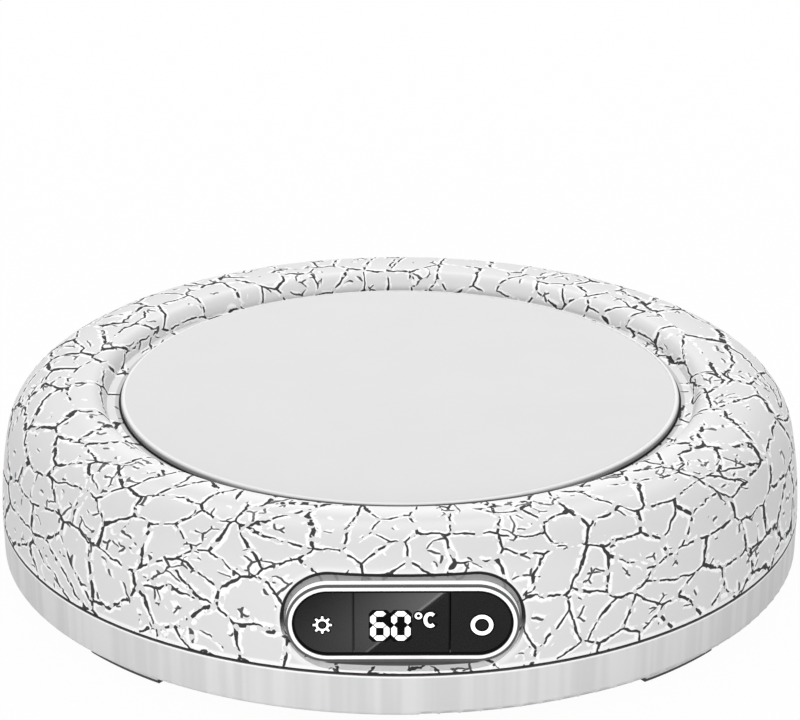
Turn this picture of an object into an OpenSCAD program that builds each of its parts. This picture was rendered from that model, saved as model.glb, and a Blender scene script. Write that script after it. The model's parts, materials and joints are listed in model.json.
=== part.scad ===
// Round electric warming plate: a domed cover, a base band, a heated disc and a front control panel.
// Millimetres, +Z up, the panel faces -Y, and the origin lies under the middle of the feet.

/* [Body] */
// Diameter of the body at the parting line
body_d = 130; // [127:0.5:138]
// Wall of both shells
wall = 2.2; // [1.8:0.1:2.6]
// Height of the base band, from its underside to the parting line
base_h = 6.8; // [6.4:0.1:9]
// How much the base band narrows towards its underside, on the radius
base_draft = 0.15; // [0.05:0.05:0.5]
// Rounding of the base band's lower edge
base_edge_r = 0.8; // [0.4:0.1:1.4]
// Thickness of the base floor
floor_t = 2; // [1.6:0.1:2.4]
// Depth of the shadow line above the parting line
seam_d = 0.9; // [0.3:0.1:1]
// Height of the shadow line
seam_h = 0.4; // [0.2:0.1:0.6]

/* [Cover] */
// Height of the crown above the parting line
cover_rise = 20.4; // [19.6:0.1:23]
// Radius of the side's barrel curve
barrel_r = 70; // [60:1:110]
// Radius of the shoulder, less where the ring is too narrow for it
shoulder_r = 8.5; // [7:0.1:9.5]
// Least width of the level crown between the shoulder and the roll
crown_land = 0.5; // [0.3:0.1:2]
// Radius of the roll from the crown into the dish
roll_r = 2.5; // [1.5:0.1:3]
// Slope of the dish wall from the level
dish_slope = 65; // [55:1:75]
// Width of the ledge round the heating plate
ledge_w = 2.4; // [1.6:0.1:3]
// Width of the seat flange under the plate's rim
seat_w = 4.3; // [3.6:0.1:5]
// Thickness of the seat flange
seat_t = 2; // [1.6:0.1:2.6]
// Thickness of the locating lip inside the seam
lip_t = 1.8; // [1.2:0.1:2.2]
// How far the lip reaches into the base
lip_drop = 2; // [1:0.1:2.6]
// Height over which the lip is joined to the cover's wall
lip_root = 1.2; // [0.8:0.1:2]
// Gap between the lip and the base wall
lip_gap = 0.4; // [0.2:0.05:0.6]

/* [Heating plate] */
// Diameter of the heating plate
plate_d = 89.6; // [86:0.2:92]
// Thickness of the heating plate
plate_t = 3; // [2.6:0.1:3.6]
// Rounding of the plate's upper edge
plate_edge_r = 0.3; // [0.2:0.1:0.8]
// Gap between the plate and the well round it
plate_gap = 0.35; // [0.3:0.05:0.9]
// How far the plate stands above the ledge
plate_proud = 1; // [0.6:0.1:1.4]
// How far the crown stands above the plate
dish_depth = 1.8; // [1.2:0.1:2.4]
// Thickness of the gasket under the plate's rim
gasket_t = 0.6; // [0.4:0.05:0.8]
// Thickness of the gasket's upstand in the gap
gasket_lip_t = 0.25; // [0.15:0.05:0.35]
// Height of the gasket's upstand over the plate's underside
gasket_lip_h = 2.15; // [1.6:0.05:2.4]
// Room round the heater mat, pad and clamp inside the seat
stack_gap = 0.5; // [0.3:0.1:1]
// Thickness of the clamp plate
clamp_t = 0.8; // [0.6:0.1:1.2]
// Height of the clamp bosses under the seat
clamp_boss_h = 1; // [0.8:0.1:1.4]
// Diameter of the clamp bosses and ears
clamp_boss_d = 5.2; // [4.4:0.1:5.6]
// Diameter of the clamp screws
clamp_screw_d = 2; // [1.6:0.1:2.2]
// Length of the clamp screws under their heads
clamp_screw_l = 3.2; // [2.6:0.1:3.6]

/* [Sensor and fuse] */
// Diameter of the thermistor bead
bead_d = 2.4; // [1.8:0.1:3]
// Length of the thermistor bead
bead_l = 2.4; // [1.6:0.1:2.8]
// Distance of the thermistor behind the middle
bead_y = 8; // [6:0.5:12]
// Spacing of the two sensor leads
sensor_lead_gap = 1.2; // [1.1:0.1:1.4]
// Diameter of the sensor leads
sensor_lead_d = 0.7; // [0.5:0.1:0.9]
// Diameter of the thermal fuse
fuse_d = 2.5; // [2:0.1:2.9]
// Length of the thermal fuse's body
fuse_l = 9; // [7:0.5:10]
// Distance of the thermal fuse from the middle, to the left
fuse_x = 16; // [15:0.5:19]
// Length of the fuse's level leads beyond its body
fuse_lead_l = 2.5; // [2:0.1:3]
// Diameter of the fuse's leads
fuse_lead_d = 0.7; // [0.5:0.1:0.9]
// Spacing of the two heater leads
heater_lead_gap = 8; // [6:0.5:10]
// Distance of the heater leads in front of the middle
heater_lead_y = 10; // [9:0.5:11]
// Diameter of the heater leads
heater_lead_d = 1.6; // [1.2:0.1:2]
// Room round the bead, the fuse and the leads where they pass through the pad and clamp
lead_gap = 0.4; // [0.3:0.05:0.6]

/* [Control panel] */
// Distance of the bezel's face behind the body's widest radius
panel_setback = 2.8; // [2.4:0.1:3.2]
// Height of the panel's middle above the parting line
panel_rise = 7.2; // [7.2:0.05:7.8]
// Width of the bezel
bezel_w = 34.4; // [31:0.1:35]
// Height of the bezel
bezel_h = 12.4; // [11.6:0.1:12.4]
// Width of the bezel's face, with the groove and the lip round it
bezel_rim = 0.95; // [0.8:0.05:1.1]
// Width of the shadow groove round the bezel's face
groove_w = 0.2; // [0.1:0.05:0.3]
// Depth of the shadow groove
groove_depth = 0.4; // [0.2:0.05:0.6]
// Width of the lip outside the shadow groove
groove_lip = 0.1; // [0.1:0.05:0.2]
// How far the bezel stands out of the pocket's floor
bezel_proud = 1.3; // [0.6:0.1:1.4]
// Thickness of the pocket's floor
pocket_t = 2; // [1.6:0.1:2.4]
// Pocket margin at each end of the bezel
pocket_side = 0.45; // [0.4:0.05:1.1]
// Pocket margin above the bezel
pocket_above = 1.8; // [1.4:0.1:2.3]
// Pocket margin below the bezel
pocket_below = 0.25; // [0.25:0.05:0.5]
// Thickness of the bezel's flange behind the pocket's floor
flange_t = 1; // [0.8:0.1:1.2]
// How far the flange reaches past the bezel, all round
flange_reach = 0.95; // [0.9:0.05:1.25]
// Depth of the keys and the window behind the bezel's face
key_inset = 0.3; // [0.2:0.05:0.6]
// Thickness of the keys' faces and of the window
key_face_t = 1.5; // [1.2:0.1:1.8]
// Thickness of the keys' skirts
key_skirt_t = 0.9; // [0.7:0.1:1.1]
// How far the keys' stop lips reach past their sides
key_lip_w = 0.85; // [0.6:0.05:1]
// Thickness of the keys' stop lips
key_lip_t = 0.7; // [0.5:0.1:0.9]
// Gap between the bezel's flange and the stop lips at rest
key_stop_gap = 0.1; // [0.05:0.05:0.2]
// Travel of each key
key_travel = 0.4; // [0.3:0.05:0.5]
// Gap round the keys and the window in the bezel
key_gap = 0.15; // [0.1:0.05:0.25]
// Width of the display window between the keys
window_w = 13.8; // [12:0.2:15]
// Width of the seam between the window and each key
window_seam = 0.3; // [0.2:0.05:0.4]

/* [Display board] */
// Depth of the digit display behind the window
digit_block_d = 5.5; // [5:0.1:6]
// Margin of the digit display inside the window
digit_block_margin = 0.2; // [0.1:0.05:0.5]
// Width of the display board
board_w = 49.5; // [48:0.5:50]
// Height of the display board
board_h = 13; // [12:0.2:13.6]
// Thickness of both circuit boards
board_t = 1.6; // [1:0.1:2]
// Room between the display board and the well or the lip
board_gap = 0.4; // [0.2:0.05:0.6]
// Distance of each display board screw from the board's end
board_screw_inset = 3; // [2.6:0.1:3.2]
// Diameter of the display board bosses
board_boss_d = 4.4; // [4:0.1:4.6]
// Diameter of the display board screws
board_screw_d = 1.7; // [1.4:0.1:2]
// Length of the display board screws under their heads
board_screw_l = 5; // [4:0.1:5.6]
// Width of each key switch
switch_w = 4.5; // [4:0.1:5]
// Height of each key switch off the board
switch_h = 3; // [2.6:0.1:3.2]
// Distance of each key switch from the middle
switch_x = 11.3; // [11:0.1:11.4]
// Diameter of the switch plungers
plunger_d = 2.4; // [2:0.1:2.8]
// Length of the plunger inside its switch at rest
plunger_in = 0.9; // [0.7:0.05:1]
// Room under the plunger when its key is down
plunger_room = 0.1; // [0.05:0.05:0.3]
// Gap round the plunger in its switch
plunger_gap = 0.1; // [0.1:0.05:0.2]
// Diameter of the stems behind the keys
stem_d = 3.2; // [2.8:0.1:3.6]
// Length of the stems behind the keys
stem_l = 1.5; // [1.2:0.1:1.7]
// Width of the controller chip behind the display board
chip_w = 7; // [5:0.5:9]
// Height of the controller chip
chip_h = 5; // [4:0.5:6]
// Thickness of the controller chip
chip_t = 1.6; // [1:0.1:2]
// Distance of the controller chip under the board's top edge
chip_inset = 1; // [0.5:0.1:1.5]

/* [Power board] */
// Width of the power board
power_w = 56; // [54:0.5:60]
// Depth of the power board
power_d = 46; // [45:0.5:50]
// Height of the power board's standoffs
standoff_h = 3; // [2.5:0.1:3.4]
// Diameter of the standoffs
standoff_d = 5.2; // [4.6:0.1:6]
// Distance of the standoffs from the board's edges
standoff_inset = 3.4; // [3.2:0.1:4]
// Diameter of the power board screws
power_screw_d = 2.2; // [1.8:0.1:2.4]
// Length of the power board screws under their heads
power_screw_l = 4; // [3.4:0.1:4.4]
// Room between the parts on the power board
part_gap = 0.8; // [0.5:0.1:1.2]
// Film capacitor width, depth and height
film_cap_size = [13, 6, 8.4]; // [4:0.2:14]
// Diameter of the smoothing capacitors
can_d = 7; // [6:0.5:8]
// Height of the smoothing capacitors
can_h = 8.8; // [7:0.1:9.4]
// Spacing of the smoothing capacitors
can_pitch = 9; // [8.5:0.5:10]
// Triac body width, depth and thickness
triac_size = [10, 9, 4.4]; // [4:0.2:11]
// Thickness of the triac's tab
triac_tab_t = 1.3; // [1:0.1:1.6]
// Length of the triac's tab
triac_tab_l = 6; // [5:0.5:7]
// Diameter of the hole in the triac's tab
triac_hole_d = 3.6; // [3:0.1:3.8]
// Diameter of the mains fuse
mains_fuse_d = 5; // [4:0.1:5.2]
// Length of the mains fuse
mains_fuse_l = 18; // [16:0.5:20]
// Length of the fuse's end caps
mains_fuse_cap_l = 4; // [3:0.5:5]
// How far the end caps stand out round the glass
mains_fuse_cap_t = 0.3; // [0.2:0.05:0.4]
// Outer diameter of the choke
choke_d = 14; // [12:0.5:15]
// Height of the choke
choke_h = 6; // [5:0.2:7]
// Hole of the choke
choke_hole_d = 5; // [4:0.5:6]
// Terminal block width, depth and height
terminal_size = [12, 8, 9]; // [7:0.2:13]
// Diameter of the wire entries in the terminal block
terminal_hole_d = 3; // [2.5:0.1:3.4]
// Depth of the wire entries
terminal_hole_l = 6; // [4:0.5:6.5]

/* [Case screws] */
// Diameter of the case columns and bosses
column_d = 6.4; // [6.2:0.1:7]
// Gap between the case columns and the locating lip
column_gap = 2.25; // [1.5:0.05:3]
// Height of the case columns above the parting line
column_rise = 4; // [3:0.2:6]
// Angle of the case screws from the fore-and-aft line
column_angle = 30; // [27:1:31]
// Diameter of the case screws
case_screw_d = 2.5; // [2.2:0.1:3]
// Length of the case screws under their heads
case_screw_l = 12; // [10:0.5:13]
// Depth of the counterbores in the base
counterbore_depth = 5; // [4:0.1:6]
// Gap round the screws in their clearance holes
screw_gap = 0.25; // [0.15:0.05:0.4]
// Gap round the screws in their pilot holes
pilot_gap = 0.05; // [0.05:0.01:0.1]
// Depth of the pilot holes beyond the screws' ends
pilot_over = 0.3; // [0.2:0.05:0.4]
// Head diameter of a screw, as a multiple of its own diameter
head_d_ratio = 2; // [1.8:0.05:2.05]
// Head height of a screw, as a multiple of its own diameter
head_h_ratio = 0.7; // [0.55:0.05:0.8]
// Length of a screw's cross slot, as a multiple of its own diameter
slot_l_ratio = 1.2; // [0.9:0.05:1.4]
// Width of a screw's cross slot, as a multiple of its own diameter
slot_w_ratio = 0.25; // [0.15:0.05:0.35]
// Depth of a screw's cross slot, as a multiple of its own diameter
slot_d_ratio = 0.35; // [0.2:0.05:0.4]

/* [Feet] */
// How far the feet stand out of the base
foot_h = 2; // [1:0.1:2.4]
// Depth of the feet's recesses in the base
foot_recess = 0.5; // [0.3:0.1:0.8]
// Width of each foot, along the radius
foot_w = 6.7; // [5:0.1:7.4]
// Distance of the feet's outer edge from the body's widest radius
foot_margin = 2.3; // [1.8:0.1:3]
// Angle that each foot spans
foot_span = 13.5; // [10:0.5:15]
// Angle of each foot's middle from the side-to-side line
foot_angle = 47; // [44:1:48]
// Bevel round each foot's sole
foot_bevel = 0.4; // [0.2:0.05:0.7]
// Gap round each foot in its recess
foot_gap = 0.15; // [0.1:0.05:0.3]

/* [Cord gland] */
// Width of the gland's notch in the cover's rim
gland_w = 7.6; // [7.2:0.1:9]
// Height of the gland's notch
gland_h = 7; // [6.8:0.1:8]
// Diameter of the cord hole
gland_bore_d = 5.2; // [4.6:0.1:5.4]
// How far the gland's flange reaches past the notch
gland_flange = 1.5; // [1:0.1:2]
// Thickness of the gland's flange
gland_flange_t = 1.6; // [1.2:0.1:2.2]
// Gap round the gland in its notch
gland_gap = 0.1; // [0.05:0.05:0.2]
// How far the gland's face lies inside the body's widest radius
gland_sink = 0.4; // [0.3:0.1:0.8]

/* [Display cable] */
// Width of the flat cable
cable_w = 9; // [6:0.5:11]
// Thickness of the flat cable
cable_t = 0.8; // [0.6:0.1:1]
// Radius of the cable's bend down to the power board
cable_bend_r = 2.4; // [2:0.1:2.8]
// Height of the cable's level run over the parting line
cable_rise = 3.4; // [3.2:0.1:4]
// Distance of the cable's foot from the power board's front edge
cable_foot = 3; // [2.5:0.1:4]

/* [Hidden] */

// Facets of large and of small round faces
FINE = 180;
SMALL = 48;
// How far a rounding laps over the faces that it blends, so that they cross cleanly
blend_lap = 0.002;
// How far a cut runs past the face that it opens, and a join runs into what it joins
over = 1;
join = 0.5;

// Heights of the shells
body_r = body_d / 2;
part_z = foot_h + base_h;
floor_z = foot_h + floor_t;
crown_z = part_z + cover_rise;

// Heights of the heating stack
plate_r = plate_d / 2;
well_r = plate_r + plate_gap;
well_wall_r = well_r + wall;
plate_top_z = crown_z - dish_depth;
ledge_z = plate_top_z - plate_proud;
plate_z = plate_top_z - plate_t;
seat_z = plate_z - gasket_t;
seat_under_z = seat_z - seat_t;
clamp_top_z = seat_under_z - clamp_boss_h;
clamp_z = clamp_top_z - clamp_t;
seat_r = well_r - seat_w;
stack_r = seat_r - stack_gap;
ear_r = (seat_r + well_wall_r) / 2;
ear_angles = [90, 210, 330];

// Roll from the dish's slope to the crown
slope_foot_r = well_r + ledge_w;
slope_top_z = crown_z - roll_r + roll_r * cos(dish_slope);
slope_top_r = slope_foot_r + (slope_top_z - ledge_z) / tan(dish_slope);
roll_c = [slope_top_r + roll_r * sin(dish_slope), crown_z - roll_r];

// Barrel of the side, and the shoulder that touches it and the crown
barrel_c = [body_r - barrel_r, part_z];
crown_run = roll_c[0] + crown_land - barrel_c[0];
shoulder_room = (pow(barrel_r, 2) - pow(cover_rise, 2) - pow(crown_run, 2)) / (2 * (barrel_r - cover_rise));
shoulder_fillet = min(shoulder_r, shoulder_room);
shoulder_lift = cover_rise - shoulder_fillet;
shoulder_run = sqrt(pow(barrel_r - shoulder_fillet, 2) - pow(shoulder_lift, 2));
shoulder_c = barrel_c + [shoulder_run, shoulder_lift];
shoulder_a = atan2(shoulder_lift, shoulder_run);

// Locating lip
lip_out_r = body_r - wall - lip_gap;
lip_in_r = lip_out_r - lip_t;

// Depths and heights of the control panel
panel_y = panel_setback - body_r;
pocket_floor_y = panel_y + bezel_proud;
pocket_back_y = pocket_floor_y + pocket_t;
flange_back_y = pocket_back_y + flange_t;
panel_z = part_z + panel_rise;
pocket_w = bezel_w + 2 * pocket_side;
pocket_h = bezel_h + pocket_above + pocket_below;
pocket_z = panel_z + (pocket_above - pocket_below) / 2;
opening_w = bezel_w - 2 * bezel_rim;
opening_h = bezel_h - 2 * bezel_rim;
flange_w = bezel_w + 2 * flange_reach;
flange_h = bezel_h + 2 * flange_reach;
key_w = opening_w - 2 * key_gap;
key_h = opening_h - 2 * key_gap;
key_y = panel_y + key_inset;
key_back_y = key_y + key_face_t;
key_lip_y = flange_back_y + key_stop_gap;
key_side_x = window_w / 2 + window_seam;

// Display board
board_y = key_back_y + digit_block_d;
board_back_y = board_y + board_t;
board_screw_x = board_w / 2 - board_screw_inset;
switch_top_y = board_y - switch_h;
plunger_y = key_back_y + stem_l;
plunger_tip_y = switch_top_y + plunger_in;

// Power board
power_z = floor_z + standoff_h;
power_top_z = power_z + board_t;
standoff_x = power_w / 2 - standoff_inset;
standoff_y = power_d / 2 - standoff_inset;
// Places of the parts on the power board, in rows from its rear edge
terminal_at = [terminal_size[0] / 2, power_d / 2 - part_gap - terminal_size[1] / 2];
film_cap_at = [-part_gap - film_cap_size[0] / 2, power_d / 2 - part_gap - film_cap_size[1] / 2];
mains_fuse_cap_d = mains_fuse_d + 2 * mains_fuse_cap_t;
mains_fuse_at = [terminal_size[0] / 2 + mains_fuse_l / 2,
    terminal_at[1] - terminal_size[1] / 2 - part_gap - mains_fuse_cap_d / 2];
cans_at = [terminal_size[0] / 2 + can_pitch, mains_fuse_at[1] - mains_fuse_cap_d / 2 - part_gap - can_d / 2];
triac_at = [terminal_size[0] / 2 + triac_size[0] / 2, cans_at[1] - can_d / 2 - part_gap - triac_size[1] / 2];
choke_at = [-choke_d / 2 - part_gap, 0];

// Case screws
case_r = lip_in_r - column_gap - column_d / 2;
case_angles = [90 - column_angle, 90 + column_angle, 270 - column_angle, 270 + column_angle];
column_top_z = part_z + column_rise;
screw_seat_z = foot_h + counterbore_depth;

// Feet, by the angle of each one's middle
foot_out_r = body_r - foot_margin;
foot_in_r = foot_out_r - foot_w;
FRONT_LEFT = 180 + foot_angle;
FRONT_RIGHT = 360 - foot_angle;
REAR_LEFT = 180 - foot_angle;
REAR_RIGHT = foot_angle;

// Cord gland: its face, and its flange's front, which clears the curved wall at the flange's top corners
gland_y = body_r - gland_sink;
gland_wall_r = barrel_c[0] + sqrt(pow(barrel_r - wall, 2) - pow(gland_h + gland_flange, 2));
gland_flange_y = sqrt(pow(gland_wall_r, 2) - pow(gland_w / 2 + gland_flange, 2)) - gland_gap;

// Colours
cover_white = "#eceae7";
band_grey = "#d9d9d8";
plate_white = "#efeeec";
panel_black = "#1b1b1d";
bezel_white = "#f6f6f6";
board_green = "#2f6b45";
metal_grey = "#b9bcc0";
rubber_grey = "#3a3b3d";

// Flat shapes

module pill(w, h) {
    square([w - h, h], center = true);
    for (side = [-1, 1])
        translate([side * (w - h) / 2, 0]) circle(d = h, $fn = SMALL);
}

// Upright outline with a round top, standing on z = 0
module arch(w, h) {
    intersection() {
        union() {
            translate([-w / 2, -w]) square([w, h + w / 2]);
            translate([0, h - w / 2]) circle(d = w, $fn = SMALL);
        }
        translate([-w, 0]) square([2 * w, 2 * h]);
    }
}

module box_outline(r0, z0, r1, z1) {
    translate([r0, z0]) square([r1 - r0, z1 - z0]);
}

// Side, shoulder and crown of the cover, drawn back by inset, from radius r0 outwards and z0 upwards
module dome_outline(inset, r0, z0) {
    top = crown_z - inset;
    side_r = barrel_r - inset;
    intersection() {
        translate(barrel_c) circle(r = side_r, $fn = FINE);
        polygon([
            [r0, z0], [body_r + over, z0],
            barrel_c + (barrel_r + over) * [cos(shoulder_a), sin(shoulder_a)],
            shoulder_c, [shoulder_c[0], top], [r0, top],
        ]);
    }
    translate(shoulder_c) intersection() {
        circle(r = shoulder_fillet - inset + blend_lap, $fn = FINE);
        translate([-over, -over]) square(2 * shoulder_fillet);
    }
}

// Stands a flat shape up so that it faces -Y and reaches from depth y0 back to depth y1
module facing_front(y0, y1, z) {
    translate([0, y1, z]) rotate([90, 0, 0]) linear_extrude(y1 - y0) children();
}

// Puts copies on a circle of the given radius
module around(radius, angles) {
    for (a = angles)
        rotate(a) translate([radius, 0, 0]) children();
}

// Cylinder along +Z between two heights
module post(d, z0, z1) {
    translate([0, 0, z0]) cylinder(d = d, h = z1 - z0, $fn = SMALL);
}

// Pan-head screw along +Z: its head lies under z = 0 and its shank above
module screw(d, l) {
    cylinder(d = d, h = l, $fn = SMALL);
    head_h = d * head_h_ratio;
    slot = d * [slot_l_ratio, slot_w_ratio, 2 * slot_d_ratio];
    difference() {
        translate([0, 0, -head_h]) cylinder(d = d * head_d_ratio, h = head_h, $fn = SMALL);
        for (turn = [0, 90])
            rotate(turn) translate([0, 0, -head_h]) cube(slot, center = true);
    }
}

// Cover

module dish_outline() {
    polygon([
        [well_r - over, ledge_z], [slope_foot_r, ledge_z], [slope_top_r, slope_top_z],
        roll_c, [roll_c[0], crown_z + over], [well_r - over, crown_z + over],
    ]);
}

module cover_section() {
    difference() {
        dome_outline(0, well_r, part_z);
        dish_outline();
        dome_outline(wall, roll_c[0], part_z - over);
        box_outline(well_wall_r, part_z - over, roll_c[0] + over, ledge_z - wall);
        box_outline(well_r - over, part_z - over, roll_c[0] + over, seat_under_z);
        box_outline(body_r - seam_d, part_z - over, body_r + over, part_z + seam_h);
    }
    translate(roll_c) intersection() {
        circle(r = roll_r + blend_lap, $fn = SMALL);
        translate([-2 * roll_r, -join]) square([2 * roll_r + join, 2 * roll_r]);
    }
    box_outline(seat_r, seat_under_z, well_r + join, seat_z);
}

module locating_lip() {
    notch_h = lip_drop + lip_root + 2 * over;
    difference() {
        rotate_extrude($fn = FINE) {
            box_outline(lip_in_r, part_z - lip_drop, lip_out_r, part_z + lip_root);
            box_outline(lip_in_r, part_z, body_r - wall / 2, part_z + lip_root);
        }
        translate([-(flange_w / 2 + over), -body_r, part_z - lip_drop - over])
            cube([flange_w + 2 * over, wall + lip_gap + lip_t + board_boss_d, notch_h]);
        translate([-(gland_w / 2 + gland_flange + over), body_r / 2, part_z - lip_drop - over])
            cube([gland_w + 2 * (gland_flange + over), body_r, notch_h]);
    }
}

// Trims what stands inside the cover to half the depth of its wall
module inside_cover() {
    intersection() {
        children();
        rotate_extrude($fn = FINE) {
            dome_outline(wall / 2, roll_c[0], part_z);
            box_outline(well_r + wall / 2, part_z, roll_c[0] + over, ledge_z - wall / 2);
        }
    }
}

// Wall behind the panel's pocket
module panel_backing() {
    facing_front(-body_r, pocket_back_y, pocket_z) pill(pocket_w + 2 * wall, pocket_h + 2 * wall);
}

module board_bosses() {
    for (side = [-1, 1])
        translate([side * board_screw_x, 0, 0])
            facing_front(pocket_back_y - join, board_y, panel_z) circle(d = board_boss_d, $fn = SMALL);
}

module top_cover() color(cover_white) difference() {
    union() {
        rotate_extrude($fn = FINE) cover_section();
        locating_lip();
        inside_cover() panel_backing();
        inside_cover() board_bosses();
        inside_cover() around(case_r, case_angles) post(column_d, column_top_z, crown_z);
        around(ear_r, ear_angles) post(clamp_boss_d, clamp_top_z, seat_under_z + join);
    }
    facing_front(-body_r - over, pocket_floor_y, pocket_z) pill(pocket_w, pocket_h);
    facing_front(pocket_floor_y - over, pocket_back_y + over, panel_z)
        pill(bezel_w + 2 * key_gap, bezel_h + 2 * key_gap);
    for (side = [-1, 1])
        translate([side * board_screw_x, 0, 0])
            facing_front(board_back_y - board_screw_l - pilot_over, board_y + over, panel_z)
                circle(d = board_screw_d + 2 * pilot_gap, $fn = SMALL);
    around(case_r, case_angles)
        post(case_screw_d + 2 * pilot_gap, column_top_z - over, screw_seat_z + case_screw_l + pilot_over);
    around(ear_r, ear_angles)
        post(clamp_screw_d + 2 * pilot_gap, clamp_top_z - over, clamp_z + clamp_screw_l + pilot_over);
    translate([0, body_r + over, part_z]) rotate([90, 0, 0])
        linear_extrude(wall + lip_t + 2 * over) translate([0, -over]) arch(gland_w, gland_h + over);
}

// Base

module base_section() {
    edge_c = [body_r - base_draft - base_edge_r, foot_h + base_edge_r];
    polygon([
        [0, foot_h], [edge_c[0], foot_h], edge_c, [body_r - base_draft, edge_c[1]], [body_r, part_z],
        [body_r - wall, part_z], [body_r - wall, floor_z], [0, floor_z],
    ]);
    translate(edge_c) circle(r = base_edge_r + blend_lap, $fn = SMALL);
}

module foot_sector(angle, grow) {
    span = foot_span + 2 * grow * 180 / (PI * foot_out_r);
    rotate(angle - span / 2) rotate_extrude(angle = span, $fn = FINE) children();
}

module base_shell() color(band_grey) difference() {
    union() {
        rotate_extrude($fn = FINE) base_section();
        around(case_r, case_angles) post(column_d, floor_z - join, column_top_z);
        for (x = [-standoff_x, standoff_x], y = [-standoff_y, standoff_y])
            translate([x, y, 0]) post(standoff_d, floor_z - join, power_z);
    }
    around(case_r, case_angles) {
        post(case_screw_d * head_d_ratio + 2 * screw_gap, foot_h - over, screw_seat_z);
        post(case_screw_d + 2 * screw_gap, screw_seat_z - over, column_top_z + over);
    }
    for (x = [-standoff_x, standoff_x], y = [-standoff_y, standoff_y])
        translate([x, y, 0])
            post(power_screw_d + 2 * pilot_gap, power_top_z - power_screw_l - pilot_over, power_z + over);
    for (angle = [FRONT_LEFT, FRONT_RIGHT, REAR_LEFT, REAR_RIGHT])
        foot_sector(angle, foot_gap)
            box_outline(foot_in_r - foot_gap, foot_h - over, foot_out_r + foot_gap, foot_h + foot_recess);
}

module foot(angle) color(band_grey) foot_sector(angle, 0) polygon([
    [foot_in_r + foot_bevel, 0], [foot_out_r - foot_bevel, 0], [foot_out_r, foot_bevel],
    [foot_out_r, foot_h + foot_recess], [foot_in_r, foot_h + foot_recess], [foot_in_r, foot_bevel],
]);

module front_left_foot() foot(FRONT_LEFT);
module front_right_foot() foot(FRONT_RIGHT);
module rear_left_foot() foot(REAR_LEFT);
module rear_right_foot() foot(REAR_RIGHT);

module case_screws() color(metal_grey)
    around(case_r, case_angles) translate([0, 0, screw_seat_z]) screw(case_screw_d, case_screw_l);

// Heating stack

module heating_plate() color(plate_white) rotate_extrude($fn = FINE) {
    edge_c = [plate_r - plate_edge_r, plate_top_z - plate_edge_r];
    polygon([
        [0, plate_z], [plate_r, plate_z], [plate_r, edge_c[1]],
        edge_c, [edge_c[0], plate_top_z], [0, plate_top_z],
    ]);
    translate(edge_c) circle(r = plate_edge_r + blend_lap, $fn = SMALL);
}

module plate_gasket() color(rubber_grey) rotate_extrude($fn = FINE) {
    // The upstand stands in the middle of the gap round the plate
    lip_in = plate_r + (plate_gap - gasket_lip_t) / 2;
    box_outline(seat_r + stack_gap / 2, seat_z, lip_in + gasket_lip_t, plate_z);
    box_outline(lip_in, seat_z, lip_in + gasket_lip_t, plate_z + gasket_lip_h);
}

module heater_mat() color("#c46a3a") post(2 * stack_r, seat_z, plate_z);

// Places where leads pass through the pad and the clamp
module lead_places() {
    for (side = [-1, 1]) {
        translate([side * heater_lead_gap / 2, -heater_lead_y])
            circle(d = heater_lead_d + 2 * lead_gap, $fn = SMALL);
        translate([-fuse_x, side * (fuse_l / 2 + fuse_lead_l)])
            circle(d = fuse_lead_d + 2 * lead_gap, $fn = SMALL);
    }
    translate([0, bead_y]) circle(d = bead_d + 2 * lead_gap, $fn = SMALL);
}

module insulation_pad() color("#e4dfcf") difference() {
    post(2 * stack_r, clamp_top_z, seat_z);
    translate([0, 0, clamp_top_z - over]) linear_extrude(seat_z - clamp_top_z + 2 * over) {
        lead_places();
        translate([-fuse_x, 0]) square([fuse_d + 2 * lead_gap, fuse_l + 2 * lead_gap], center = true);
        translate([-fuse_x, 0]) square([fuse_lead_d + 2 * lead_gap, fuse_l + 2 * fuse_lead_l], center = true);
    }
}

module clamp_plate() color(metal_grey) difference() {
    union() {
        post(2 * stack_r, clamp_z, clamp_top_z);
        around(ear_r, ear_angles) post(clamp_boss_d, clamp_z, clamp_top_z);
        for (a = ear_angles)
            rotate(a) translate([ear_r / 2, -clamp_boss_d / 2, clamp_z])
                cube([ear_r / 2, clamp_boss_d, clamp_t]);
    }
    around(ear_r, ear_angles) post(clamp_screw_d + 2 * screw_gap, clamp_z - over, clamp_top_z + over);
    translate([0, 0, clamp_z - over]) linear_extrude(clamp_t + 2 * over) lead_places();
}

module clamp_screws() color(metal_grey)
    around(ear_r, ear_angles) translate([0, 0, clamp_z]) screw(clamp_screw_d, clamp_screw_l);

module thermistor() color("#d8b24a") translate([0, bead_y, 0]) post(bead_d, seat_z - bead_l, seat_z);

module sensor_leads() color("#d0d0d0") for (side = [-1, 1])
    translate([side * sensor_lead_gap / 2, bead_y, 0]) post(sensor_lead_d, power_top_z, seat_z - bead_l);

module heater_leads() color("#a63c32") for (side = [-1, 1])
    translate([side * heater_lead_gap / 2, -heater_lead_y, 0]) post(heater_lead_d, power_top_z, seat_z);

module thermal_fuse() color("#cfd3d6") translate([-fuse_x, 0, 0]) {
    axis_z = seat_z - fuse_d / 2;
    reach = fuse_l / 2 + fuse_lead_l;
    translate([0, 0, axis_z]) rotate([90, 0, 0]) {
        cylinder(d = fuse_d, h = fuse_l, center = true, $fn = SMALL);
        cylinder(d = fuse_lead_d, h = 2 * reach, center = true, $fn = SMALL);
    }
    for (side = [-1, 1])
        translate([0, side * reach, 0]) {
            translate([0, 0, axis_z]) sphere(d = fuse_lead_d, $fn = SMALL);
            post(fuse_lead_d, power_top_z, axis_z);
        }
}

// Control panel

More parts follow.
